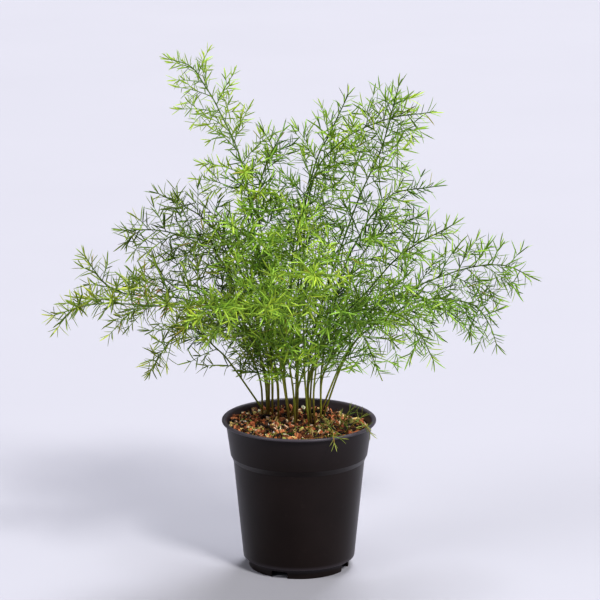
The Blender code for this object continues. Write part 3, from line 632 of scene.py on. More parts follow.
class Needles:
    """One stem's needles, kept as rows until they are shaped together."""

    def __init__(self):
        self.rows = []

    def add(self, base, direction, flat, length, bend, colour, width=1.0):
        """Keep one needle: its foot, direction, the way its blade lies, and its look."""
        self.rows.append((*base, *direction, *flat, length, bend, width, *colour))

    def shape(self, surface):
        """Shape them all as slim curved blades with a keel."""
        if not self.rows:
            return
        rows = np.array(self.rows)
        base, direction, flat = rows[:, 0:3], units(rows[:, 3:6]), rows[:, 6:9]
        length, bend, width = rows[:, 9] * MM, rows[:, 10], rows[:, 11]
        colour = rows[:, 12:15]
        flat = units(flat - np.einsum("ij,ij->i", flat, direction)[:, None] * direction)
        keel = np.cross(direction, flat)
        points, tints = [], []
        for t, broad, thick, shade in NEEDLE_SHAPE:
            middle = base + (t * length)[:, None] * direction + (bend * length * t * t)[:, None] * keel
            across = (broad * 0.5 * NEEDLE_WIDTH * MM * width)[:, None] * flat
            raised = thick * 0.5 * NEEDLE_THICKNESS * MM * keel
            points += [middle + across, middle + raised, middle - across, middle - raised]
            tints += [colour * shade] * 4
        points.append(base + length[:, None] * direction + (bend * length)[:, None] * keel)
        tints.append(colour * 1.15 + 0.02)
        points = np.stack(points, axis=1)
        tints = np.stack(tints, axis=1)
        starts = np.arange(len(rows))[:, None, None] * points.shape[1]
        quads, tips = wound(len(NEEDLE_SHAPE), 4)
        quads = (starts + np.array([*quads, (3, 2, 1, 0)])[None]).reshape(-1, 4)
        tips = (starts + np.array(tips)[None]).reshape(-1, 3)
        surface.add(points.reshape(-1, 3), [quads, tips], tints.reshape(-1, 3), smooth=False)


def needle_colour(stem, place, share, luck):
    """A needle's green: fresher when young and towards the ends, sometimes dry; with painted shade and
    highlight.
    """
    age = min(max(stem.age + luck.gauss(0.0, AGE_LUCK) - FRESHER_ENDS * share, 0.0), 1.0)
    colour = YOUNG_GREEN + (OLD_GREEN - YOUNG_GREEN) * age**AGEING
    chance = DRY_SHARE_LEFT if "dry" in stem.habit else DRY_SHARE
    if np.linalg.norm(place / MM - DRY_PATCH) < DRY_PATCH_REACH and luck.random() < DRY_PATCH_SHARE:
        return DRY_BROWN * luck.uniform(*DRY_LUCK)
    if luck.random() < chance:
        colour = 0.3 * colour + 0.7 * DRY_YELLOW
    if stem.young:
        colour = colour * YOUNG_NEEDLE_SHADE
    if "olive" in stem.habit:
        colour = colour * OLIVE_SHADE
    # Painted shade, darker towards the foot of each twig, times a random brightness; young stems get less of
    # both
    shade = (PAINTED_INNER_SHADE + (1.0 - PAINTED_INNER_SHADE) * share) * luck.uniform(DULLEST_NEEDLE, BRIGHTEST_NEEDLE)
    shade += (1.0 - shade) * YOUNG_EVENNESS * max(0.0, 1.0 - stem.age)
    # Painted highlight: needles brighter than their own green are paled towards white
    colour = colour * shade + NEEDLE_PAINTED_HIGHLIGHT * max(0.0, shade - 1.0)
    return colour * min(1.0, PALEST_NEEDLE / colour.max())


def lowest_needle(place):
    """The least height of a fine needle in metres, higher over the pot."""
    share = max(0.0, 1.0 - abs(place[0] / MM - INNER_MIDDLE) / INNER_REACH)
    return lowest_leaf(place) + INNER_RISE * MM * share


def tuft(
    needles, stem, twig, distance, azimuth, count, size, share, luck, lean=NEEDLE_LEAN, radius=FINE_BRANCH_TIP
):
    """A few needles that fan out of one side of a node."""
    place, forward, side, across = twig.at(distance)
    for k in range(count):
        fan = (k - (count - 1) / 2.0) * NEEDLE_FAN
        angle = azimuth + math.radians(fan + luck.uniform(-ANGLE_LUCK, ANGLE_LUCK))
        outward = math.cos(angle) * side + math.sin(angle) * across
        tilt = math.radians(lean + luck.uniform(-ANGLE_LUCK, ANGLE_LUCK))
        direction = math.cos(tilt) * forward + math.sin(tilt) * outward + np.array([0.0, 0.0, NEEDLE_RISE])
        flat = np.cross(forward, outward) + luck.uniform(-ROLL_LUCK, ROLL_LUCK) * forward
        grown = NEEDLE_LENGTH + NEEDLE_GROWTH * min(stem.age, OLDEST_GROWTH)
        length = grown * size * luck.uniform(*NEEDLE_LUCK)
        bend = luck.gauss(*NEEDLE_BEND)
        foot = place + radius * 0.6 * MM * outward
        tip = foot + length * MM * unit(direction)
        if not stem.young and tip[2] < lowest_needle(tip):
            continue
        width = YOUNG_NEEDLE_WIDTH if stem.young else 1.0
        needles.add(foot, direction, flat, length, bend, needle_colour(stem, foot, share, luck), width)


def end_spray(needles, stem, twig, turn, count, size, lean, luck):
    """The needles that stand round the end of a twig."""
    for k in range(count):
        angle = turn + 2.0 * math.pi * k / count
        tuft(needles, stem, twig, twig.length, angle, 1, size, 1.0, luck, lean=lean)


def dress_twig(surface, needles, stem, twig, root, luck):
    """A fine twig with a tuft of needles at each node and a spray at its end."""
    length = twig.length / MM
    stops = np.linspace(0.0, twig.length, max(4, round(length / FINE_TWIG_STEP)))
    radii = np.linspace(root, FINE_BRANCH_TIP, len(stops))
    green = STEM_GREEN * (1.5 - 0.5 * stem.age)
    greens = [green * (1.0 + 0.5 * share) for share in np.linspace(0.0, 1.0, len(stops))]
    tube(surface, twig, stops, radii, 5, greens)
    size = SHOOT_NEEDLE_SIZE if stem.young else 1.0
    gap = NODE_GAP * (SHOOT_NODE_GAP if stem.young else 1.0) + NODE_GAP_GROWTH * min(stem.age, OLDEST_GROWTH)
    if "airy" in stem.habit:
        gap *= AIRY_GAP
    elif "close" in stem.habit:
        gap *= CLOSE_GAP
    distance = FIRST_NODE + luck.uniform(0.0, FIRST_NODE_LUCK)
    turn = luck.uniform(0.0, 2.0 * math.pi)
    while distance < length - TWIG_BARE_END:
        share = distance / length
        count = 1 if stem.young else luck.choices((1, 2, 3, 4), TUFT_ODDS)[0]
        taper = 1.0 - TWIG_TAPER * share**2
        tuft(needles, stem, twig, distance * MM, turn, count, size * taper, share, luck)
        turn += math.radians(GOLDEN_ANGLE + luck.uniform(-TURN_LUCK, TURN_LUCK))
        distance += gap * luck.uniform(*GAP_LUCK)
    end_spray(needles, stem, twig, turn, 3, size * END_SIZE, END_LEAN, luck)


def dress_branch(surface, needles, stem, branch, luck):
    """A side branch with its needles and, if it is long, its side twigs."""
    dress_twig(surface, needles, stem, branch.twig, FINE_BRANCH_ROOT, luck)
    length = branch.twig.length / MM
    if "full" not in stem.habit or length < LEAST_FOR_SIDE_TWIG:
        return
    azimuth = luck.uniform(0.0, 2.0 * math.pi)
    for share in SIDE_TWIG_PLACES:
        start = length * (share + luck.uniform(-SIDE_TWIG_SHIFT, SIDE_TWIG_SHIFT))
        size = SIDE_TWIG_SHARE * length * (1.25 - share) * luck.uniform(*GAP_LUCK)
        path = side_path(branch.twig, start * MM, azimuth, size, SIDE_TWIG_ANGLE, 0.0, SIDE_TWIG_SAG, 3)
        if path[-1][2] > lowest_leaf(path[-1]):
            dress_twig(surface, needles, stem, Twig(path), FINE_BRANCH_TIP, luck)
        azimuth += math.pi + luck.uniform(-SIDE_TWIG_SWING, SIDE_TWIG_SWING)


def bract(surface, stem, distance, azimuth, radius, luck):
    """The small brown scale under a side branch."""
    place, forward, side, across = stem.twig.at(distance)
    outward = math.cos(azimuth) * side + math.sin(azimuth) * across
    sideways = np.cross(forward, outward)
    foot = place + radius * 0.7 * MM * outward - 0.9 * MM * forward
    size = luck.uniform(*BRACT_LENGTH)
    points = [
        foot - BRACT_HALF_WIDTH * MM * sideways,
        foot + BRACT_HALF_WIDTH * MM * sideways,
        foot + 0.35 * MM * outward + 0.6 * MM * forward,
        foot + size * MM * forward + 0.75 * size * MM * outward,
    ]
    faces = [[(0, 1, 3), (1, 2, 3), (2, 0, 3), (0, 2, 1)]]
    surface.add(points, faces, np.tile(STEM_BROWN * 1.6, (4, 1)))


def stem_colour(stem, height):
    """A stem's colour at a height in millimetres: brown, then olive, then green."""
    above = height - MIX_LEVEL
    luck = random.Random(stem.name)
    olive = min(max((above - OLIVE_FROM) / luck.uniform(*BROWN_REACH), 0.0), 1.0)
    green = min(max((above - GREEN_FROM) / GREEN_REACH, 0.0), 1.0)
    colour = STEM_BROWN + (STEM_OLIVE - STEM_BROWN) * olive
    colour = colour + (STEM_GREEN - colour) * green
    return colour * luck.uniform(*STEM_SHADES)


def dress_stem(stem, material):
    """One leafy stem at full detail, in the place of its solid."""
    surface = Surface()
    needles = Needles()
    luck = random.Random(2000 + stem.number)
    twig = stem.twig
    length = twig.length / MM
    root = FINE_SHOOT_ROOT if stem.young else FINE_STEM_ROOT
    count = max(6, round(length / FINE_STEM_STEP))
    stops = np.concatenate([[0.0], np.linspace(ROOT_DEPTH * MM, twig.length, count)])
    radii = root + (FINE_STEM_TIP - root) * (stops / twig.length)
    nodes = np.array([branch.start for branch in stem.branches])
    for k, stop in enumerate(stops):
        if nodes.size and np.min(np.abs(nodes - stop)) < NODE_REACH * MM:
            radii[k] *= NODE_SWELLING
    colours = [stem_colour(stem, twig.at(stop)[0][2] / MM) for stop in stops]
    tube(surface, twig, stops, radii, 8, colours)
    for branch in stem.branches:
        radius = root + (FINE_STEM_TIP - root) * branch.start / twig.length
        dress_branch(surface, needles, stem, branch, luck)
        bract(surface, stem, branch.start - BRACT_DROP * MM, branch.azimuth, radius, luck)
    size = SHOOT_NEEDLE_SIZE if stem.young else 1.0
    distance = stem.bare + SHOOT_FIRST_NODE if stem.young else length - LEAFY_TOP
    turn = luck.uniform(0.0, 2.0 * math.pi)
    while distance < length - 1.0:
        share = (distance - stem.bare) / (length - stem.bare)
        count = 1 if stem.young else luck.choices((1, 2, 3), STEM_TUFT_ODDS)[0]
        taper = 1.0 - STEM_TAPER * share
        tuft(needles, stem, twig, distance * MM, turn, count, size * taper, share, luck, radius=TOP_RADIUS)
        turn += math.radians(GOLDEN_ANGLE)
        gap = END_NODE_GAP if distance > length - END_TUFT else STEM_NODE_GAP
        distance += gap * (SHOOT_STEM_NODE_GAP if stem.young else 1.0) * luck.uniform(*GAP_LUCK)
    end_spray(needles, stem, twig, turn, 4, size * TIP_SIZE, TIP_LEAN, luck)
    needles.shape(surface)
    piece = surface.piece(f"{stem.name}_foliage", material, "foliage")
    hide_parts(stem.name)


def from_bmesh(name, bm):
    """A new object with the shape of a bmesh."""
    bmesh.ops.recalc_face_normals(bm, faces=bm.faces)
    mesh = bpy.data.meshes.new(name)
    bm.to_mesh(mesh)
    bm.free()
    return placed(name, mesh)


def turned_piece(name, profile, sides):
    """An object turned from a section that starts and ends on the pot's axis."""
    bm = bmesh.new()
    points = [bm.verts.new((radius * MM, 0.0, height * MM)) for radius, height in profile]
    edges = [bm.edges.new(pair) for pair in zip(points, points[1:])]
    turn = {"cent": (0.0, 0.0, 0.0), "axis": (0.0, 0.0, 1.0), "angle": 2.0 * math.pi}
    bmesh.ops.spin(bm, geom=points + edges, steps=sides, use_merge=True, **turn)
    bmesh.ops.remove_doubles(bm, verts=bm.verts, dist=0.01 * MM)
    return from_bmesh(name, bm)


def arc(centre, radius, first, last, count):
    """Points of a rounded corner in a section, between two angles in degrees."""
    angles = np.radians(np.linspace(first, last, count))
    return [(centre[0] + radius * math.cos(angle), centre[1] + radius * math.sin(angle)) for angle in angles]


def straight(start, end, count):
    """Points between two corners of a section, without the corners."""
    shares = np.linspace(0.0, 1.0, count + 2)[1:-1]
    return [tuple(a + (b - a) * share for a, b in zip(start, end)) for share in shares]


def pot_section():
    """The pot's section at full detail, with rolled and rounded edges."""
    top = POT_HEIGHT - LIP_EDGE
    flare = POT_HEIGHT - LIP_FLARE
    base, foot = BODY_FOOT_RADIUS - WALL, FOOT_RADIUS - WALL
    step, collar, neck = STEP_RADIUS - WALL, COLLAR_FOOT_RADIUS - WALL, COLLAR_TOP_RADIUS - COLLAR_WALL
    return [
        (0.0, FLOOR_LEVEL), (14.0, FLOOR_LEVEL), (30.0, FLOOR_LEVEL),
        *arc((base - FLOOR_ROUNDING, FLOOR_LEVEL + FLOOR_ROUNDING), FLOOR_ROUNDING, -90.0, -5.0, 5),
        *straight((base, 13.0), (step, STEP_FOOT_HEIGHT - 0.8), 5),
        (step - 0.1, STEP_FOOT_HEIGHT - 0.6), (step + 0.4, STEP_FOOT_HEIGHT + 0.8),
        (collar - 0.3, COLLAR_FOOT_HEIGHT - 0.2), (collar, COLLAR_FOOT_HEIGHT + 0.9),
        *straight((collar, COLLAR_FOOT_HEIGHT), (neck, flare), 3),
        *arc((neck + LIP_FLARE, flare), LIP_FLARE, 178.0, 92.0, 8),
        *arc((LIP_RADIUS - LIP_EDGE, top), LIP_EDGE, 88.0, -80.0, 9),
        *arc((COLLAR_TOP_RADIUS + LIP_UNDERSIDE, top - 2.3), LIP_UNDERSIDE, 88.0, 178.0, 5),
        *straight((COLLAR_TOP_RADIUS, top - 2.7), (COLLAR_FOOT_RADIUS, COLLAR_FOOT_HEIGHT), 3),
        *arc((COLLAR_FOOT_RADIUS - COLLAR_ROUNDING, COLLAR_FOOT_HEIGHT), COLLAR_ROUNDING, 0.0, -62.0, 5),
        *arc((STEP_RADIUS + STEP_ROUNDING, STEP_FOOT_HEIGHT + 0.3), STEP_ROUNDING, 118.0, 180.0, 4),
        *straight((STEP_RADIUS, STEP_FOOT_HEIGHT), (BODY_FOOT_RADIUS, FOOT_HEIGHT + 1.0), 6),
        *arc((BODY_FOOT_RADIUS - BASE_ROUNDING, FOOT_HEIGHT + 0.9), BASE_ROUNDING, 0.0, -84.0, 5),
        (FOOT_RADIUS + 1.0, FOOT_HEIGHT - 0.1), (FOOT_RADIUS + 0.35, FOOT_HEIGHT - 0.7),
        *straight((FOOT_RADIUS + 0.3, FOOT_HEIGHT - 0.8), (FOOT_RADIUS, 0.5), 2),
        *arc((FOOT_RADIUS - FOOT_ROUNDING, FOOT_ROUNDING), FOOT_ROUNDING, 0.0, -90.0, 3),
        *arc((foot + FOOT_ROUNDING, FOOT_ROUNDING), FOOT_ROUNDING, -90.0, -180.0, 3),
        (foot + 0.3, FOOT_HEIGHT - WALL - 0.5), (foot - 0.4, FOOT_HEIGHT - WALL + 0.6),
        (30.0, FLOOR_LEVEL - WALL), (0.0, FLOOR_LEVEL - WALL),
    ]


def drain_cutter(angle):
    """What a drain takes away: a notch in the foot ring and a round hole in the floor."""
    bm = bmesh.new()
    notch = bmesh.ops.create_cube(bm, size=1.0)["verts"]
    bmesh.ops.scale(bm, vec=(NOTCH_DEPTH * MM, NOTCH_WIDTH * MM, 2.0 * NOTCH_HEIGHT * MM), verts=notch)
    bmesh.ops.translate(bm, vec=(FOOT_RADIUS * MM, 0.0, 0.0), verts=notch)
    ends = [(edge, edge.verts[0].co.x - edge.verts[1].co.x) for edge in bm.edges]
    level = [edge for edge, run in ends if abs(run) > 0.5 * NOTCH_DEPTH * MM]
    bmesh.ops.bevel(bm, geom=level, offset=NOTCH_ROUNDING * MM, segments=4, affect="EDGES", profile=0.5)
    radius = DRAIN_HOLE_RADIUS * MM
    size = {"radius1": radius, "radius2": radius, "depth": DRAIN_HOLE_DEPTH * MM}
    hole = bmesh.ops.create_cone(bm, cap_ends=True, segments=DRAIN_HOLE_SIDES, **size)["verts"]
    bmesh.ops.translate(bm, vec=(DRAIN_HOLE_DISTANCE * MM, 0.0, FOOT_HEIGHT * MM), verts=hole)
    bmesh.ops.rotate(bm, verts=bm.verts, cent=(0.0, 0.0, 0.0), matrix=Matrix.Rotation(angle, 3, "Z"))
    return from_bmesh("drain_cutter", bm)


def make_pot(material):
    """The nursery pot at full detail, in the place of its solid."""
    pot = turned_piece("nursery_pot", pot_section(), POT_SIDES)
    first = math.radians(DRAIN_FIRST_ANGLE)
    cutters = [drain_cutter(first + 2.0 * math.pi * k / DRAIN_COUNT) for k in range(DRAIN_COUNT)]
    for cutter in cutters:
        cut = pot.modifiers.new("drain", "BOOLEAN")
        cut.operation = "DIFFERENCE"
        cut.solver = "EXACT"
        cut.object = cutter
    shape = bpy.data.meshes.new_from_object(pot.evaluated_get(bpy.context.evaluated_depsgraph_get()))
    pot.modifiers.clear()
    old = pot.data
    pot.data = shape
    bpy.data.meshes.remove(old)
    for cutter in cutters:
        bpy.data.objects.remove(cutter, do_unlink=True)
    shape.name = "nursery_pot"
    shape.shade_smooth()
    shape.set_sharp_from_angle(angle=math.radians(SHARP_ANGLE))
    shape.materials.clear()
    shape.materials.append(material)
    # Marks the inner wall of the collar, where painted sheen goes
    inside_sheen = shape.color_attributes.new("tint", "FLOAT_COLOR", "POINT")
    for vertex, tint in zip(shape.vertices, inside_sheen.data):
        height = vertex.co.z / MM
        inside = math.hypot(vertex.co.x, vertex.co.y) / MM < inner_wall(height) + 0.5 * COLLAR_WALL
        share = 1.0 if inside and height > COLLAR_FOOT_HEIGHT else 0.0
        tint.color = (share, share, share, 1.0)
    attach(pot, "root")
    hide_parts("pot")


def inner_wall(height):
    """The pot's inner radius at a height in its collar."""
    rise = (height - COLLAR_FOOT_HEIGHT) / (POT_HEIGHT - LIP_HEIGHT - COLLAR_FOOT_HEIGHT)
    return COLLAR_FOOT_RADIUS - WALL + rise * (COLLAR_TOP_RADIUS - COLLAR_WALL - COLLAR_FOOT_RADIUS + WALL)


def mix_height(x, y):
    """The height of the mix's surface at a place, in millimetres."""
    share = math.hypot(x, y) / inner_wall(MIX_EDGE_LEVEL)
    rough = sum(rise * noise.noise(Vector((fine * x, fine * y, z))) for rise, fine, z in MIX_WAVES)
    level = MIX_LEVEL + MIX_MOUND * max(0.0, 1.0 - share * share) - MIX_TILT * x
    return level + WALL_RISE * min(share, 1.0) ** 2 + rough - MIX_DROP


def make_mix_body(material):
    """The mass of the mix under the loose chips, in the place of its solid."""
    floor = FLOOR_LEVEL + GAP
    edge = inner_wall(MIX_EDGE_LEVEL) - GAP
    base = BODY_FOOT_RADIUS - WALL
    profile = [
        (0.0, floor), (base - 1.8, floor), (base - GAP, floor + 1.8),
        (STEP_RADIUS - WALL - GAP, STEP_FOOT_HEIGHT),
        (COLLAR_FOOT_RADIUS - WALL - GAP, COLLAR_FOOT_HEIGHT + 0.2), (edge, MIX_EDGE_LEVEL),
        *[(edge * ring / MIX_RINGS, MIX_LEVEL) for ring in range(MIX_RINGS - 1, -1, -1)],
    ]
    mix = turned_piece("mix_body", profile, MIX_SIDES)
    for vertex in mix.data.vertices:
        if vertex.co.z > (MIX_EDGE_LEVEL - 0.2) * MM:
            vertex.co.z = mix_height(vertex.co.x / MM, vertex.co.y / MM) * MM
    mix.data.shade_smooth()
    mix.data.materials.append(material)
    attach(mix, "root")
    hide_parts("potting_mix")


def lump():
    """A twenty-sided lump of radius one: its corners and its faces."""
    golden = (1.0 + math.sqrt(5.0)) / 2.0
    corners = []
    for a in (-1.0, 1.0):
        for b in (-golden, golden):
            corners += [(a, b, 0.0), (0.0, a, b), (b, 0.0, a)]
    corners = units(np.array(corners))
    edge = np.min([np.linalg.norm(corners[0] - c) for c in corners[1:]]) * 1.01
    near = np.linalg.norm(corners[:, None] - corners[None], axis=2) < edge
    faces = []
    for i, j, k in itertools.combinations(range(len(corners)), 3):
        if near[i, j] and near[j, k] and near[i, k]:
            out = np.cross(corners[j] - corners[i], corners[k] - corners[i]) @ corners[i] > 0.0
            faces.append((i, j, k) if out else (i, k, j))
    return corners, np.array(faces)


def turned_at_random(luck):
    """Three axes at right angles, turned at random."""
    first = unit(luck.normal(size=3))
    second = unit(np.cross(first, luck.normal(size=3)))
    return np.array([first, second, np.cross(first, second)])


def free_of_stems(stems, x, y, room):
    """Whether a place on the mix is clear of every stem."""
    return all(math.hypot(x - stem.foot[0], y - stem.foot[1]) > room + STEM_ROOM for stem in stems)


def place_on_mix(luck, reach):
    """A place drawn at random on the mix, in millimetres."""
    distance = math.sqrt(luck.uniform()) * reach
    angle = luck.uniform(0.0, 2.0 * math.pi)
    return distance * math.cos(angle), distance * math.sin(angle)


def scatter(surface, stems, palette, count, sizes, squash, seed, raised, odds):
    """Lay rough lumps of random shape, turn and colour over the mix."""
    corners, faces = lump()
    luck = np.random.default_rng(seed)
    for _ in range(count):
        size = luck.uniform(*sizes) * 0.5
        x, y = place_on_mix(luck, inner_wall(MIX_LEVEL) - 0.2 - 0.7 * size)
        colour = palette[luck.choice(len(palette), p=odds)] * luck.uniform(*CHIP_SHADES)
        axes = turned_at_random(luck)
        broad = luck.uniform(squash, 0.9)
        stretch = size * np.array([1.35, 0.9 * broad, luck.uniform(0.5, 1.0) * broad])
        rough = 1.0 + luck.uniform(-CHIP_ROUGHNESS, CHIP_ROUGHNESS, (len(corners), 1))
        lift = luck.uniform(*raised)
        if not free_of_stems(stems, x, y, 0.55 * size):
            continue
        place = np.array([x, y, mix_height(x, y) + lift * size])
        points = place + (corners * rough * stretch) @ axes
        colours = np.tile(np.minimum(colour, PALEST_CHIP), (len(corners), 1))
        surface.add(points * MM, [faces], colours, smooth=False)


def make_loose_mix(stems, material, pale_material):
    """The loose husk chips, grains and pale granules on the surface."""
    chips = Surface()
    scatter(chips, stems, HUSK_COLOURS, *CHIPS)
    scatter(chips, stems, HUSK_COLOURS, *GRAINS)
    chips.piece("husk_chips", material, "potting_mix")
    pale = Surface()
    scatter(pale, stems, PALE_COLOURS, *GRANULES)
    pale.piece("pale_granules", pale_material, "potting_mix")


def make_fallen(stems, material):
    """Dropped needles and fibres that lie on the mix."""
    surface = Surface()
    needles = Needles()
    luck = np.random.default_rng(31)
    hues = (YOUNG_GREEN * YOUNG_NEEDLE_SHADE, OLD_GREEN * 1.6, DRY_YELLOW * 0.9, STEM_BROWN * 1.8)
    for k in range(FALLEN_COUNT + FIBRE_COUNT):
        x, y = place_on_mix(luck, FALLEN_REACH)
        if x < luck.uniform(*FALLEN_EDGE):
            continue
        heading = luck.uniform(0.0, 2.0 * math.pi)
        direction = np.array([math.cos(heading), math.sin(heading), luck.uniform(-0.12, 0.25)])
        length = luck.uniform(*FALLEN_LENGTH)
        fibre = k >= FALLEN_COUNT
        colour = hues[luck.choice(4, p=FIBRE_ODDS if fibre else FALLEN_ODDS)]
        if not free_of_stems(stems, x, y, 1.0):
            continue
        base = np.array([x, y, mix_height(x, y) + luck.uniform(*FALLEN_LIFT)])
        flat = np.array([-math.sin(heading), math.cos(heading), luck.uniform(-0.6, 0.6)])
        width = luck.uniform(*(FIBRE_WIDTH if fibre else FALLEN_WIDTH))
        needles.add(base * MM, direction, flat, length, luck.normal(0.0, 0.16), colour, width)
    needles.shape(surface)
    surface.piece("fallen_needles", material, "foliage")


class Look:
    """A node material, with makers for the nodes that colour and roughen it."""

    def __init__(self, name):
        self.material = bpy.data.materials.new(name)
        self.material.use_nodes = True
        self.nodes = self.material.node_tree.nodes
        self.links = self.material.node_tree.links
        self.shader = self.nodes["Principled BSDF"]
        self.place = self.nodes.new("ShaderNodeTexCoord").outputs["Object"]

    def put(self, socket, value):
        """Link a socket to a node's output, or set it to a number or a colour."""
        if isinstance(value, bpy.types.NodeSocket):
            self.links.new(value, socket)
        else:
            socket.default_value = value if isinstance(value, float) else (*value, 1.0)

    def set(self, **values):
        """Give inputs of the shader their values."""
        for name, value in values.items():
            self.put(self.shader.inputs[name.replace("_", " ")], value)

    def node(self, kind, **values):
        """A new node with the given inputs."""
        made = self.nodes.new(kind)
        for name, value in values.items():
            self.put(made.inputs[name], value)
        return made

    def noise(self, scale, detail, roughness=0.55):
        """A noise texture through the piece."""
        inputs = {"Vector": self.place, "Scale": scale, "Detail": detail, "Roughness": roughness}
        return self.node("ShaderNodeTexNoise", **inputs).outputs["Fac"]

    def ramp(self, value, *stops):
        """Colours or greys between the given places of a value."""
        ramp = self.node("ShaderNodeValToRGB", Fac=value)
        elements = ramp.color_ramp.elements
        while len(elements) < len(stops):
            elements.new(0.5)
        for element, (place, colour) in zip(elements, stops):
            element.position = place
            element.color = (*colour, 1.0) if isinstance(colour, tuple) else (colour, colour, colour, 1.0)
        return ramp.outputs["Color"]

    def mix(self, kind, factor, first, second):
        """Two colours mixed in the given way."""
        mix = self.nodes.new("ShaderNodeMix")
        mix.data_type = "RGBA"
        mix.blend_type = kind
        for name, value in (("Factor", factor), ("A", first), ("B", second)):
            self.put(next(s for s in mix.inputs if s.name == name and s.enabled), value)
        return next(s for s in mix.outputs if s.enabled)

    def roughen(self, height, strength, distance):
        """Bump the surface by a height."""
        bump = self.node("ShaderNodeBump", Height=height, Strength=strength, Distance=distance)
        self.set(Normal=bump.outputs["Normal"])

    def tint(self):
        """The colour that each point of the piece carries."""
        tint = self.nodes.new("ShaderNodeVertexColor")
        tint.layer_name = "tint"
        return tint.outputs["Color"]


def plastic_material():
    """Black moulded plastic: satin, fine grain, faint dust, painted highlights on its edges and painted sheen
    inside.
    """
    look = Look("pot_plastic")
    clouds = look.noise(26.0, 5.0, 0.6)
    veil = look.ramp(look.noise(160.0, 8.0, 0.75), (0.60, 0.0), (0.84, 0.10))
    base = look.ramp(clouds, (0.30, PLASTIC_DARK), (0.72, PLASTIC_PALE))
    colour = look.mix("MIX", veil, base, PLASTIC_DUST)
    height = look.node("ShaderNodeSeparateXYZ", Vector=look.place).outputs["Z"]
    # Painted highlight bands at the body's foot, the collar's foot and the lip, standing in for reflections
    painted_highlight = look.ramp(height, *[(level * MM, share) for level, share in PAINTED_HIGHLIGHT_LEVELS])
    colour = look.mix("MIX", painted_highlight, colour, PLASTIC_PAINTED_HIGHLIGHT)
    # Painted sheen on the inner wall, where the pot's tint marks it
    colour = look.mix("MIX", look.tint(), colour, PLASTIC_INSIDE_SHEEN)
    satin = look.ramp(clouds, (0.25, 0.28), (0.75, 0.40))
    look.set(Base_Color=colour, Roughness=satin, Specular_IOR_Level=0.22)
    look.roughen(look.noise(1500.0, 2.0), 0.10, 0.00012)
    return look.material


def mix_material():
    """The dark crumb between the chips."""
    look = Look("mix_crumb")
    crumbs = look.noise(420.0, 8.0, 0.7)
    dark = look.ramp(crumbs, *CRUMB_COLOURS)
    patches = look.ramp(look.noise(90.0, 3.0), (0.3, 0.4), (0.7, 1.0))
    look.set(Base_Color=look.mix("MULTIPLY", 0.6, dark, patches), Roughness=0.92)
    look.roughen(crumbs, 0.9, 0.0012)
    return look.material


def tinted_material(name, scale, low, high, roughness, bump_strength):
    """A surface in each shape's tint, broken up by a fine noise."""
    look = Look(name)
    fine = look.noise(scale, 6.0, 0.65)
    shade = look.ramp(fine, (0.30, low), (0.70, high))
    look.set(Base_Color=look.mix("MULTIPLY", 1.0, look.tint(), shade), Roughness=roughness)
    look.roughen(fine, bump_strength, 0.0004)
    return look.material


def foliage_material():
    """Fresh needle leaves: matte wax green that lets some light through."""
    look = Look("needle_green")
    warm = look.ramp(look.noise(34.0, 3.0), (0.30, (0.76, 0.88, 0.90)), (0.70, (1.14, 1.08, 0.92)))
    streak = look.ramp(look.noise(900.0, 3.0), (0.30, (0.86, 0.88, 0.84)), (0.70, (1.10, 1.08, 1.06)))
    colour = look.mix("MULTIPLY", 1.0, look.mix("MULTIPLY", 1.0, look.tint(), warm), streak)
    look.set(Base_Color=colour, Roughness=0.42, Specular_IOR_Level=0.14)
    glow = look.node("ShaderNodeBsdfTranslucent", Color=colour)
    blend = look.node("ShaderNodeMixShader", Fac=0.20)
    look.put(blend.inputs[1], look.shader.outputs["BSDF"])
    look.put(blend.inputs[2], glow.outputs["BSDF"])
    look.put(look.nodes["Material Output"].inputs["Surface"], blend.outputs["Shader"])
    return look.material


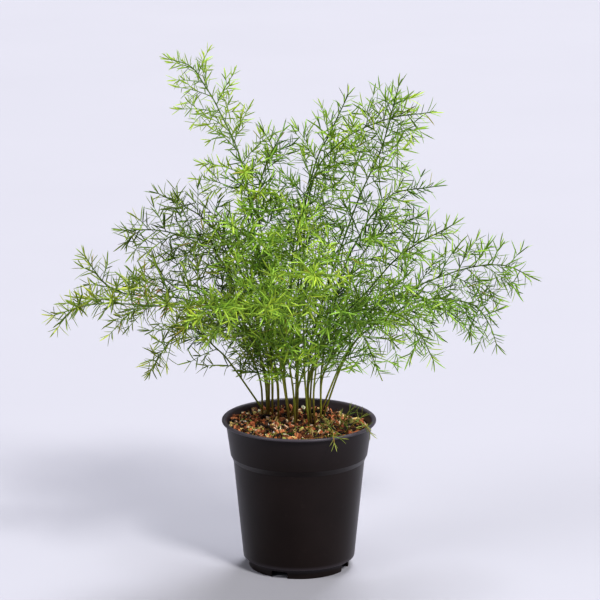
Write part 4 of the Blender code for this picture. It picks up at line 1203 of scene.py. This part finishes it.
def make_stage():
    """A plain pale floor."""
    mesh = bpy.data.meshes.new("floor")
    corners = [(x * FLOOR_REACH, y * FLOOR_REACH, 0.0) for x, y in ((-1, -1), (1, -1), (1, 1), (-1, 1))]
    mesh.from_pydata(corners, [], [(0, 1, 2, 3)])
    look = Look("pale_floor")
    pale = look.ramp(look.noise(3.0, 3.0), (0.3, (0.402, 0.402, 0.457)), (0.7, (0.410, 0.410, 0.465)))
    look.set(Base_Color=pale, Roughness=0.75)
    mesh.materials.append(look.material)
    placed("floor", mesh)


def add_sun(name, heading, elevation, softness, power, colour):
    """An even soft light from a direction given in degrees."""
    lamp = bpy.data.lights.new(name, "SUN")
    lamp.angle = math.radians(softness)
    lamp.energy = power
    lamp.color = colour
    turn, rise = math.radians(heading), math.radians(elevation)
    towards = Vector((math.sin(turn) * math.cos(rise), -math.cos(turn) * math.cos(rise), math.sin(rise)))
    placed(name, lamp).rotation_euler = towards.to_track_quat("Z", "Y").to_euler()


def make_light():
    """Soft daylight: a pale sky and suns from behind, the front and both sides."""
    world = bpy.data.worlds.new("pale_sky")
    world.use_nodes = True
    sky = world.node_tree.nodes["Background"]
    sky.inputs["Color"].default_value = (0.88, 0.89, 1.0, 1.0)
    sky.inputs["Strength"].default_value = 0.15
    bpy.context.scene.world = world
    for sun in SUNS:
        add_sun(*sun)
    bpy.context.scene.view_settings.view_transform = "Standard"
    bpy.context.scene.view_settings.look = "Medium High Contrast"


def make_camera():
    """The photograph's view: from the front, a little above, through a long lens."""
    pitch = math.radians(CAMERA_PITCH)
    camera = bpy.data.cameras.new("camera")
    camera.sensor_width = SENSOR_WIDTH
    camera.lens = SENSOR_WIDTH * FOCAL_PIXELS / PICTURE_PIXELS
    camera.shift_x = 1.0 / PICTURE_PIXELS
    camera.clip_end = 50.0
    thing = placed("camera", camera)
    thing.location = Vector(CAMERA_AIM) + CAMERA_DISTANCE * Vector((0.0, -math.cos(pitch), math.sin(pitch)))
    thing.rotation_euler = (math.radians(90.0) - pitch, 0.0, 0.0)
    bpy.context.scene.camera = thing


def main():
    make_camera()
    make_light()
    make_stage()
    stems = grow_plant()
    green = foliage_material()
    for stem in stems:
        dress_stem(stem, green)
    make_pot(plastic_material())
    make_mix_body(mix_material())
    husk = tinted_material("husk", 700.0, 0.50, 1.50, 0.80, 0.5)
    pale = tinted_material("pale_granule", 900.0, 0.80, 1.15, 0.8, 0.3)
    make_loose_mix(stems, husk, pale)
    make_fallen(stems, green)


main()
